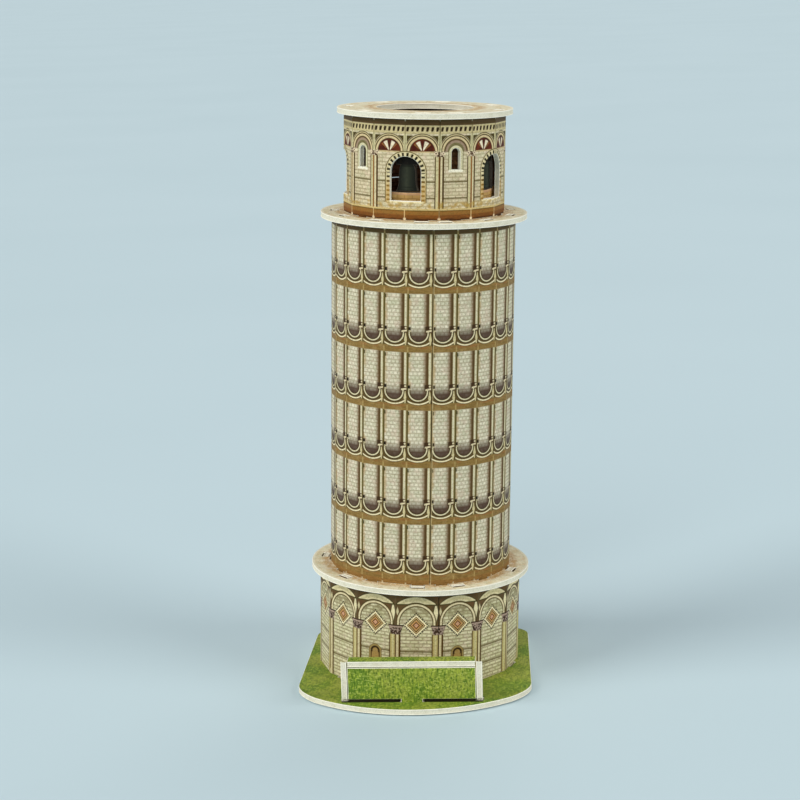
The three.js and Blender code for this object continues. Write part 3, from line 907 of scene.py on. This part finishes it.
def belfry_print():
    art = Art("belfry_print", CREAM)
    u, v = art.uv()
    width = face_width(BELFRY)
    d = (BELFRY["height"] - SEAT) - v
    a = u.fraction(width)
    face = (u / width).floor()
    x = a - width / 2
    near = (u + width / 2).fraction(width) - width / 2
    reach = abs(x)
    kind = face.fraction(3.0)
    windowed = kind.below(0.5, 0.1)
    tint = art.noise(0.25, 3.0)
    blotch = art.noise(0.5, 3.0, shift=4.0)

    # masonry
    everywhere = d.above(5.0, 0.2)
    tones = ((226, 213, 178), (200, 187, 150), (128, 106, 66))
    art.brick_layer(a + 0.4, d + 0.1, 1.27, 2.6, everywhere, tones, 0.3, 0.4, 0.72)
    art.paint(everywhere * tint.ramp(0.52, 0.66) * 0.3, (198, 200, 160))
    art.paint(everywhere * blotch.ramp(0.54, 0.68) * 0.45, (218, 192, 166))

    # frieze of little arcades under a dark band
    frieze = d.between(2.2, 5.1, 0.16)
    art.paint(frieze, (206, 190, 142))
    slot_x = abs((u + (d - 3.6) * 0.18).from_fold(width / 7) - width / 14)
    hole = (slot_x + d.ramp(3.6, 4.6) * 0.16).below(0.48, 0.2) * d.between(2.75, 4.35, 0.3)
    art.paint(hole, (44, 30, 12))
    art.paint(d.between(4.75, 5.1, 0.3) * 0.5, (176, 164, 116))

    # spandrels, arch mouldings and what fills the arch
    arch = art.distance(x, d - BELFRY_ARCH["spring"])
    over = d.below(BELFRY_ARCH["spring"], 0.15)
    corner = arch.above(6.35, 0.2) * d.between(5.75, 8.2, 0.2) * over
    art.paint(corner * reach.below(5.85, 0.2), (72, 62, 26))
    art.paint(over * arch.between(4.2, 6.25, 0.2), (70, 54, 22))
    art.paint(over * arch.between(4.5, 5.95, 0.2), (210, 194, 146))
    art.paint(over * arch.between(5.22, 5.62, 0.18), (72, 56, 24))
    art.paint(over * arch.between(4.6, 5.15, 0.2), (216, 194, 148))
    lunette = over * arch.below(4.3, 0.2) * (1 - windowed)
    art.paint(lunette, (72, 22, 12))
    art.paint(lunette * blotch.ramp(0.45, 0.6) * 0.7, (112, 44, 20))
    rise = BELFRY_ARCH["spring"] - d
    petal = abs(art.math("ARCTAN2", reach, rise + 0.25) - 0.42)
    art.paint(lunette * petal.below(0.2, 0.1) * arch.between(0.5, 3.7, 0.3), (236, 222, 190))
    far = abs(art.math("ARCTAN2", reach, rise + 0.25) - 0.78)
    art.paint(lunette * far.below(0.07, 0.08) * arch.between(1.4, 3.8, 0.3) * 0.8, (150, 104, 52))
    art.paint(d.between(11.2, 11.75, 0.2) * reach.below(4.3, 0.3) * (1 - windowed) * 0.7, (206, 182, 130))

    moulding = over * arch.below(4.3, 0.2) * windowed
    art.paint(moulding, (96, 72, 44))
    art.paint(moulding * arch.below(3.9, 0.3), (160, 136, 112))
    art.paint(moulding * arch.below(3.1, 0.2), (118, 110, 72))

    # window frame
    spring = BELFRY["height"] - (WINDOW["top"] - WINDOW["width"] / 2)
    head = art.distance(x, d - spring)
    over_window = d.below(spring, 0.1)
    frame_at = art.lesser(head + (1 - over_window) * 9, reach + over_window * 9)
    sill = BELFRY["height"] - WINDOW["sill"]
    beside = windowed * d.below(sill + 0.1, 0.2)
    art.paint(beside * frame_at.below(2.85, 0.2), (104, 92, 48))
    art.paint(beside * frame_at.below(2.6, 0.2), (214, 206, 166))
    art.paint(beside * frame_at.below(1.75, 0.2), (88, 78, 44))
    art.paint(windowed * d.between(sill, sill + 0.75, 0.2) * reach.below(2.7, 0.2), (246, 240, 214))

    # course lines
    art.paint(d.between(21.55, 22.1, 0.25) * 0.85, (92, 80, 36))
    art.paint(d.between(27.25, 27.75, 0.25) * 0.85, (92, 80, 36))

    # capitals and columns on the folds that carry no door
    no_door = abs((u / width + 0.5).floor().fraction(3.0) - 2.0).above(0.5, 0.1)
    column = no_door * d.above(13.0, 0.2) * d.below(31.5, 0.2)
    art.paint(column * near.between(-1.75, 1.7, 0.16), (76, 54, 20))
    art.paint(column * near.between(-1.35, -0.4, 0.16), (204, 192, 146))
    art.paint(column * near.between(-0.3, 0.15, 0.2), (158, 108, 56))
    art.paint(column * near.between(0.3, 1.0, 0.16), (224, 208, 164))
    taper = abs(near) - (13.0 - d) * 0.42
    capital = no_door * d.between(11.1, 13.1, 0.2) * taper.below(1.35, 0.3)
    art.paint(capital, (70, 44, 24))
    scroll = art.distance(abs(near) - 1.3, d - 11.9)
    art.paint(no_door * scroll.below(0.62, 0.25), (232, 210, 176))
    art.paint(no_door * scroll.below(0.3, 0.2), (66, 40, 20))
    art.paint(capital * art.noise(2.0, 2.0, shift=8.0).ramp(0.48, 0.6) * 0.85, (226, 206, 172))
    art.paint(over * abs(near).below(0.55, 0.2) * d.above(5.1, 0.2), (218, 208, 160))

    # ring of wedge stones round each door
    door_u = (u - 2 * width + 1.5 * width).fraction(3 * width) - 1.5 * width
    plane = door_u * math.cos(math.pi / BELFRY["faces"])
    door_spring = BELFRY["height"] - (DOOR["top"] - DOOR["width"] / 2)
    up = door_spring - d
    round_head = art.distance(plane, up)
    turning = up.above(0.0, 0.1)
    beside_door = abs(plane)
    from_door = art.lesser(round_head + (1 - turning) * 9, beside_door + turning * 9)
    low_end = d.below(BELFRY["height"] - DOOR["sill"] + 0.3, 0.2)
    ring = from_door.below(7.15, 0.2) * low_end
    art.paint(from_door.below(7.5, 0.2) * low_end, (104, 88, 44))
    art.paint(ring, (222, 208, 162))
    angle = art.math("ARCTAN2", plane, up)
    wedge = (angle + 0.12).from_fold(0.26)
    head_cut = wedge.below(0.062, 0.03) * turning
    jamb_cut = up.from_fold(1.62).below(0.36, 0.2) * (1 - turning)
    cuts = ring * art.either(head_cut, jamb_cut) * from_door.below(6.9, 0.2)
    art.paint(cuts, (40, 34, 12))
    art.paint(ring * d.above(22.0, 4.0) * 0.6, (190, 144, 62))
    art.paint(from_door.below(5.66, 0.15) * low_end, (44, 34, 12))
    sill_line = d.between(BELFRY["height"] - DOOR["sill"], BELFRY["height"] - DOOR["sill"] + 0.6, 0.2)
    art.paint(sill_line * beside_door.below(6.6, 0.3), (240, 226, 178))

    # plinth bands at the bottom
    gold = blotch.ramp(0.44, 0.6)
    art.paint(v.between(4.3, 6.4, 0.8) * gold * 0.8, (178, 146, 66))
    art.paint(v.below(4.2, 0.2), (210, 188, 128))
    art.paint(v.below(3.6, 0.2), (112, 84, 34))
    art.paint(v.below(3.2, 0.3), (146, 106, 50))
    art.paint(v.below(2.0, 0.5), (122, 76, 32))
    art.paint(v.below(0.75, 0.4), (78, 46, 20))
    streak = art.noise(1.0, 2.0, stretch=(0.3, 3.0, 1), shift=2.0)
    art.paint(v.below(3.4, 0.2) * streak.ramp(0.5, 0.66) * 0.5, (156, 96, 40))

    # brown band under the top plate, darkened as painted shadow of the plate above; fold line and pale nicks
    top = d.below(2.2, 0.16)
    art.paint(top, (84, 66, 36))
    art.paint(top * streak.ramp(0.45, 0.6) * 0.6, (104, 76, 48))
    fold = abs(near).below(0.17, 0.18)
    art.paint(fold * d.below(11.0, 0.3) * 0.75, (86, 72, 34))
    art.paint(fold * v.below(3.9, 0.3) * 0.8, (226, 196, 140))
    spot = art.distance(near, v - 0.55)
    art.paint(spot.below(0.5, 0.35), (246, 228, 190))
    art.paint(fold * d.below(0.8, 0.4) * 0.7, (214, 206, 182))
    art.speckle((84, 64, 30), 0.34)
    return art.finish(0.12, 1.6)


# ------------------------------------------------------------------ other prints


def bell_print_and_shade():
    art = Art("bell_print_and_shade", (96, 62, 38))
    u, v = art.uv()
    width = face_width(BELL_RING)
    blotch = art.noise(0.6, 3.0, shift=2.0)
    everywhere = v.above(-3.0)
    art.brick_layer(u, v, 1.7, 3.4, everywhere, ((104, 66, 40), (76, 46, 28), (44, 28, 16)), 0.3, 0.3, 0.8)
    art.paint(blotch.ramp(0.5, 0.66) * 0.6, (132, 92, 58))
    plinth = v.below(LINING_DOOR["sill"] + 0.4, 0.2)
    tones = ((206, 170, 108), (178, 140, 82), (124, 92, 48))
    art.brick_layer(u, v, 1.45, 2.9, plinth, tones, 0.26, 0.3, 0.75)
    art.paint(v.between(LINING_DOOR["sill"] - 1.0, LINING_DOOR["sill"] - 0.1, 0.2) * 0.6, (206, 160, 128))
    door_u = (u - 2 * width + 1.5 * width).fraction(3 * width) - 1.5 * width
    reach = abs(door_u)
    # the bells: printed dark, and made darker still as painted shade for the dim inside of the belfry
    bell = v.above(BELL["bottom"] - 0.5) * reach.below(4.4, 0.2)
    art.paint(bell, (24, 25, 19))
    art.paint(bell * reach.below(1.5, 2.6) * 0.75, (58, 62, 48))
    art.paint(bell * blotch.ramp(0.5, 0.62) * 0.35, (34, 40, 33))
    art.paint(bell * (v - BELL["bottom"]).from_fold(9.0).below(0.5, 0.3) * 0.7, (24, 26, 18))
    art.paint(bell * v.between(BELL["bottom"] + 1.2, BELL["bottom"] + 1.6, 0.2) * 0.6, (24, 26, 18))
    art.paint(bell * v.above(BELL["bottom"] + BELL["height"] + 0.1, 0.4), (26, 22, 18))
    return art.finish(0.1, 1.5)


def inner_brick_print_and_shade():
    # brick print of the lining's inside, made darker than the ink as painted shade for the dim inside of the
    # belfry
    art = Art("inner_brick_print_and_shade", (96, 58, 36))
    u, v = art.uv()
    blotch = art.noise(0.5, 3.0, shift=6.0)
    tint = art.noise(0.25, 3.0, shift=1.0)
    everywhere = v.above(-3.0)
    art.brick_layer(u, v, 1.6, 3.6, everywhere, ((92, 60, 42), (62, 40, 28), (36, 22, 16)), 0.3, 0.3, 0.8)
    art.paint(blotch.ramp(0.5, 0.66) * 0.45, (124, 92, 70))
    art.paint(tint.ramp(0.52, 0.64) * 0.45, (72, 44, 30))
    plinth = v.below(4.6, 0.2)
    art.brick_layer(u, v, 1.15, 2.6, plinth, ((172, 144, 88), (146, 116, 66), (92, 72, 38)), 0.26, 0.3, 0.75)
    art.paint(v.between(4.5, 4.85, 0.2), (60, 42, 24))
    return art.finish(0.1, 1.5)


def plate_print(name, rim_radius, ring_radius=0.0):
    """Weathered stone paving with a darker band round the wall or hole that it frames."""
    art = Art(name, (236, 230, 200), 0.45)
    x, y = art.uv()
    radius = art.distance(x, y)
    paving = art.noise(0.32, 4.0)
    stain = art.noise(0.7, 4.0, shift=5.0)
    fine = art.noise(2.2, 3.0, shift=9.0)
    art.paint(paving.ramp(0.46, 0.62) * 0.7, (220, 196, 146))
    art.paint(stain.ramp(0.5, 0.62) * 0.5, (198, 198, 166))
    art.paint(stain.ramp(0.44, 0.34) * 0.45, (226, 220, 214))
    art.paint(fine.ramp(0.55, 0.68) * 0.6, (178, 140, 84))
    art.paint(paving.ramp(0.46, 0.36) * fine.ramp(0.45, 0.55) * 0.5, (236, 214, 176))
    angle = art.math("ARCTAN2", x, y)
    joints = angle.from_fold(math.pi / 18).below(0.006, 0.008)
    art.paint(joints * radius.above(rim_radius * 0.45, 0.5) * 0.35, (166, 148, 104))
    for at in (0.62, 0.86):
        art.paint(radius.between(rim_radius * at - 0.12, rim_radius * at + 0.12, 0.25) * 0.4, (160, 140, 98))
    if ring_radius:
        near = radius.between(ring_radius + 0.9, ring_radius + 4.2, 1.6)
        art.paint(near * stain.ramp(0.34, 0.62) * 0.75, (196, 150, 88))
        art.paint(near * fine.ramp(0.5, 0.62) * 0.5, (146, 104, 52))
        art.paint(radius.below(ring_radius + 0.8, 0.3) * 0.7, (226, 206, 160))
    art.paint(radius.above(rim_radius - 0.9, 0.5) * 0.6, (242, 238, 216))
    return art.finish(0.1, 1.2)


def grass_print(name, blade_scale, contrast, sign_shadow=False):
    """Lawn: yellow-green and dark green blades over a mid green."""
    art = Art(name, (122, 142, 46), 0.5)
    x, y = art.uv()
    patch = art.noise(0.07, 3.0, shift=3.0)
    blades = art.noise(blade_scale, 5.0, stretch=(1.7, 0.6, 1), shift=1.0)
    lean = art.noise(blade_scale * 1.4, 4.0, stretch=(0.8, 1.3, 1), shift=8.0)
    art.paint(patch.ramp(0.44, 0.6) * 0.75, (154, 160, 72))
    art.paint(patch.ramp(0.5, 0.38) * 0.6, (92, 128, 44))
    art.paint(blades.ramp(0.53, 0.64) * contrast, (166, 182, 64))
    art.paint(blades.ramp(0.46, 0.36) * contrast, (70, 102, 26))
    art.paint(lean.ramp(0.56, 0.66) * contrast * 0.8, (188, 198, 100))
    art.paint(lean.ramp(0.43, 0.34) * contrast * 0.8, (76, 106, 30))
    if sign_shadow:
        # painted shadow: black under the sign, which stands lifted off the base
        near, far = SIGN["front"] - 0.35, SIGN["front"] + SIGN["depth"]
        across = abs(x).below(SIGN["width"] / 2 + 0.1, 0.3)
        art.paint(across * y.between(near, far, 0.3), (16, 18, 6))
    return art.finish(0.15, 1.8)


def paper_edge():
    """Cut paper faces of the foam board: bright, faintly fibrous."""
    art = Art("board_paper_edge", (248, 245, 230), 0.7)
    art.object_space()
    fibre = art.noise(900.0, 3.0)
    art.paint(fibre.ramp(0.5, 0.7) * 0.4, (206, 202, 184))
    return art.finish(0.3, 2500.0)


def foam_edge():
    """Cut foam between the papers: slightly greyer, with fine cells."""
    art = Art("board_foam_edge", (228, 224, 204), 0.85)
    art.object_space()
    cells = art.noise(2600.0, 3.0, shift=2.0)
    smudge = art.noise(260.0, 2.0, shift=5.0)
    art.paint(cells.ramp(0.5, 0.66) * 0.5, (186, 182, 162))
    art.paint(smudge.ramp(0.5, 0.66) * 0.35, (196, 190, 160))
    return art.finish(0.6, 3000.0)


def lining_edge():
    """Cut edges of the belfry's lining, painted dark as shade for the dim inside of the belfry."""
    art = Art("lining_cut_edge", (108, 98, 88), 0.8)
    art.object_space()
    cells = art.noise(1800.0, 3.0, shift=2.0)
    art.paint(cells.ramp(0.46, 0.64) * 0.6, (76, 68, 62))
    return art.finish(0.4, 2500.0)


def plain_paper(name="board_plain_paper"):
    """Unprinted paper back of a board."""
    art = Art(name, (232, 229, 214), 0.65)
    art.object_space()
    cloud = art.noise(120.0, 3.0)
    fibre = art.noise(1400.0, 3.0, shift=4.0)
    art.paint(cloud.ramp(0.45, 0.7) * 0.4, (218, 212, 190))
    art.paint(fibre.ramp(0.5, 0.7) * 0.3, (208, 203, 186))
    return art.finish(0.25, 2200.0)


# ------------------------------------------------------------------ assembly of the boards


def build_boards():
    paper, foam, plain = paper_edge(), foam_edge(), plain_paper()

    def finishes(front, back=None):
        return [front, back or plain, paper, foam]

    shaft_art = shaft_print()
    belfry_art = belfry_print()
    lawn = grass_print("grass_print", 0.8, 0.55, sign_shadow=True)
    sign_lawn = grass_print("sign_grass_print", 1.05, 0.85)

    sign_slots = [slot_loop(-SIGN["front"] - BOARD / 2, 0, SIGN_FRONT_TAB)]
    sign_middle = SIGN["front"] + SIGN["depth"] / 2
    for side in (-1, 1):
        x = side * (SIGN["width"] / 2 - BOARD / 2)
        half_x, half_y = BOARD / 2 + SLOT_GAP, SIGN_SIDE_TAB / 2 + SLOT_GAP
        sign_slots.append([
            (x - half_x, sign_middle - half_y), (x - half_x, sign_middle + half_y),
            (x + half_x, sign_middle + half_y), (x + half_x, sign_middle - half_y),
        ])
    make_board(
        "base_plate_board", "base_plate",
        [base_outline()] + tab_slots(GROUND, GROUND_TABS, turn=TURN) + sign_slots,
        flat_top(BOARD), finishes(lawn),
    )
    make_board(
        "ground_wall_board", "ground_wall",
        [ground_outline()],
        leaning(folded(GROUND)), finishes(ground_print()), fold_lines(GROUND, GROUND["faces"]),
    )
    shaft_slots = tab_slots(SHAFT, SHAFT_RIGHT_TABS + SHAFT_LEFT_TABS)
    make_board(
        "ground_top_plate_board", "ground_top_plate",
        [circle(GROUND_PLATE_RADIUS)] + tab_slots(GROUND, GROUND_TABS) + shaft_slots + spine_slots(),
        leaning(flat_top(SHAFT["floor"])),
        finishes(plate_print("ground_plate_print", GROUND_PLATE_RADIUS, SHAFT["radius"] - PLATE_RING_INSET)),
    )
    half_shaft = SHAFT["faces"] // 2
    for side, first, tabs in (("right", 0, SHAFT_RIGHT_TABS), ("left", half_shaft, SHAFT_LEFT_TABS)):
        make_board(
            f"shaft_wall_{side}_board", f"shaft_wall_{side}",
            [wall_outline(SHAFT, first, first + half_shaft - 1, tabs, tabs)],
            leaning(folded(SHAFT, first)), finishes(shaft_art), fold_lines(SHAFT, half_shaft),
        )
    make_board(
        "belfry_floor_plate_board", "belfry_floor_plate",
        [circle(SHAFT_PLATE_RADIUS)] + shaft_slots + tab_slots(BELFRY, BELFRY_TABS)
        + tab_slots(BELL_RING, BELL_RING_TABS, 0.0) + spine_slots(),
        leaning(flat_top(BELFRY["floor"])),
        finishes(plate_print("belfry_plate_print", SHAFT_PLATE_RADIUS, BELFRY["radius"] - PLATE_RING_INSET)),
    )
    belfry_width, last_face = face_width(BELFRY), BELFRY["faces"] - 1
    stretch = 1 / math.cos(math.pi / BELFRY["faces"])
    door_folds = [round(folds_to(BELFRY, angle)) for angle in DOOR_ANGLES]
    holes = [arch_loop(fold * belfry_width, DOOR, stretch) for fold in door_folds]
    for angle in WINDOW_ANGLES:
        face = round(folds_to(BELFRY, angle) - 0.5)
        holes.append(arch_loop((face + 0.5) * belfry_width, WINDOW, 1.0))
    make_board(
        "belfry_wall_board", "belfry_wall",
        [wall_outline(BELFRY, 0, last_face, BELFRY_TABS, BELFRY_TABS, 0.0)] + holes,
        leaning(folded(BELFRY, 0, door_folds, DOOR)), finishes(belfry_art),
        fold_lines(BELFRY, BELFRY["faces"]),
    )
    ring_width = face_width(BELL_RING)
    # the lining's cut edges are painted dark as shade inside the belfry
    shaded_lining_edge = lining_edge()
    bell_folds = [round(folds_to(BELL_RING, angle)) for angle in DOOR_ANGLES]
    bells = [belled_loop(fold * ring_width, stretch) for fold in bell_folds]
    make_board(
        "bell_ring_board", "bell_ring",
        [wall_outline(BELL_RING, 0, last_face, [], BELL_RING_TABS)] + bells,
        leaning(folded(BELL_RING, 0, bell_folds, LINING_DOOR)),
        [bell_print_and_shade(), inner_brick_print_and_shade(), shaded_lining_edge, shaded_lining_edge], fold_lines(BELL_RING, BELL_RING["faces"]),
    )
    make_board(
        "top_ring_plate_board", "top_ring_plate",
        [circle(TOP_PLATE_RADIUS), circle(TOP_HOLE_RADIUS)] + tab_slots(BELFRY, BELFRY_TABS),
        leaning(flat_top(BELFRY["floor"] + BELFRY["height"] + BOARD)),
        finishes(plate_print("top_plate_print", TOP_PLATE_RADIUS, TOP_HOLE_RADIUS)),
    )
    build_spines(finishes(plain))
    build_sign(finishes(sign_lawn), finishes(plain), sign_middle)


def build_spines(finish):
    low, high = SEAT, SHAFT["height"] - SEAT
    middle = (low + high) / 2
    half, lap = SPINE["width"] / 2, BOARD / 2 + SLOT_GAP
    centres = [-SPINE["offset"], SPINE["offset"]]
    bottom = tabbed_edge(-half, half, low, -BOARD, centres, SPINE["tab"])
    top = tabbed_edge(half, -half, high, SHAFT["height"] + BOARD, centres, SPINE["tab"])
    for name, angle, from_top in (("across", 0, True), ("along", 90, False)):
        lower, upper = list(bottom), list(top)
        if from_top:
            notch = middle - SLOT_GAP / 2
            upper[4:4] = [(lap, high), (lap, notch), (-lap, notch), (-lap, high)]
        else:
            notch = middle + SLOT_GAP / 2
            lower[4:4] = [(-lap, low), (-lap, notch), (lap, notch), (lap, low)]
        loop = [(-half, low)] + lower + [(half, low), (half, high)] + upper + [(-half, high)]
        turn = Matrix.Rotation(math.radians(angle), 2)

        def place(u, v, depth, turn=turn):
            point = turn @ Vector((u, depth - BOARD / 2))
            return point.x, point.y, SHAFT["floor"] + v

        make_board(
            f"shaft_spine_{name}_board", f"shaft_spine_{name}", [loop], leaning(place), finish,
        )


def build_sign(printed, plain, middle):
    inner = SIGN["width"] / 2 - BOARD - SIGN["gap"]
    bottom, top = SIGN["bottom"], SIGN["bottom"] + SIGN["height"]
    under = top - BOARD - SIGN["gap"]

    def outline(half, tab, left_top, right_top):
        foot = [(-tab, bottom), (-tab, 0), (tab, 0), (tab, bottom)]
        return [(-half, bottom)] + foot + [(half, bottom), (half, right_top), (-half, left_top)]

    make_board(
        "sign_front_panel_board", "sign_front_panel",
        [outline(inner, SIGN_FRONT_TAB / 2, under, under)],
        lambda u, v, depth: (u, SIGN["front"] + depth, v), printed,
    )
    near, far = SIGN["front"], SIGN["front"] + SIGN["depth"]
    make_board(
        "sign_top_panel_board", "sign_top_panel",
        [[(-inner, near), (inner, near), (inner, far), (-inner, far)]], flat_top(top), printed,
    )
    low = top - SIGN["drop"]
    for name, side, left_top, right_top in (("left", -1, low, top), ("right", 1, top, low)):
        make_board(
            f"sign_side_{name}_board", f"sign_side_{name}",
            [outline(SIGN["depth"] / 2, SIGN_SIDE_TAB / 2, left_top, right_top)],
            lambda u, v, depth, side=side: (side * (SIGN["width"] / 2 - depth), middle + side * u, v), plain,
        )


# ------------------------------------------------------------------ camera, floor and light

FLOOR_WIDTH = 30.0  # metres
FLOOR_DROP = 0.4  # gap under the base, which draws a line of shadow along its rim
WORLD_STRENGTH = 0.34
WARM_WHITE = (1.0, 0.97, 0.92)


def build_camera():
    yaw, pitch, roll = (math.radians(CAMERA[k]) for k in ("yaw", "pitch", "roll"))
    towards = Vector((math.sin(yaw), -math.cos(yaw), 0))
    right = Vector((math.cos(yaw), math.sin(yaw), 0))
    spot = towards * CAMERA["distance"] - right * CAMERA["sideways"] + Vector((0, 0, CAMERA["height"]))
    forward = -towards * math.cos(pitch) - Vector((0, 0, math.sin(pitch)))
    up = right.cross(forward)
    turned = right * math.cos(roll) + up * math.sin(roll)
    upright = up * math.cos(roll) - right * math.sin(roll)
    data = bpy.data.cameras.new("reference_camera")
    data.lens = LENS
    data.sensor_width = SENSOR
    data.clip_start = 0.01
    data.clip_end = 20
    camera = bpy.data.objects.new("reference_camera", data)
    basis = Matrix((turned, upright, -forward)).transposed().to_4x4()
    # the place was found with the tower upright, so the camera is tipped with it
    moved = TIPPED @ spot
    camera.matrix_world = Matrix.Translation(moved * MM) @ TIPPED.to_3x3().to_4x4() @ basis
    bpy.context.scene.collection.objects.link(camera)
    bpy.context.scene.camera = camera


def floor_material():
    art = Art("studio_floor", (196, 216, 224), 0.6)
    art.object_space()
    cloud = art.noise(3.0, 2.0)
    art.paint(cloud.ramp(0.35, 0.7) * 0.3, (188, 209, 217))
    return art.finish()


def build_stage():
    half = FLOOR_WIDTH / 2
    corners = [(-half, -half, 0), (half, -half, 0), (half, half, 0), (-half, half, 0)]
    mesh = bpy.data.meshes.new("studio_floor")
    mesh.from_pydata(corners, [], [(0, 1, 2, 3)])
    mesh.materials.append(floor_material())
    floor = bpy.data.objects.new("studio_floor", mesh)
    floor.location.z = -FLOOR_DROP * MM
    bpy.context.scene.collection.objects.link(floor)
    world = bpy.data.worlds.new("studio_world")
    world.use_nodes = True
    background = world.node_tree.nodes["Background"]
    background.inputs["Color"].default_value = srgb(214, 224, 232)
    background.inputs["Strength"].default_value = WORLD_STRENGTH
    bpy.context.scene.world = world


def add_light(name, towards_light, strength, spread):
    """A distant soft source: towards_light points from the object to it, spread is in degrees."""
    data = bpy.data.lights.new(name, "SUN")
    data.energy = strength
    data.angle = math.radians(spread)
    data.color = WARM_WHITE
    light = bpy.data.objects.new(name, data)
    light.rotation_euler = (-Vector(towards_light)).to_track_quat("-Z", "Y").to_euler()
    bpy.context.scene.collection.objects.link(light)


def build_lights():
    add_light("left_softbox", (-1.15, -0.55, 0.75), 1.95, 36)
    add_light("right_softbox", (1.15, -0.5, 0.6), 1.5, 36)
    add_light("front_softbox", (-0.25, -1.2, 0.95), 0.68, 30)
    add_light("back_softbox", (0.3, 1.0, 1.3), 0.45, 36)


scene = bpy.context.scene
scene.view_settings.view_transform = "Standard"
build_camera()
build_stage()
build_lights()
build_boards()
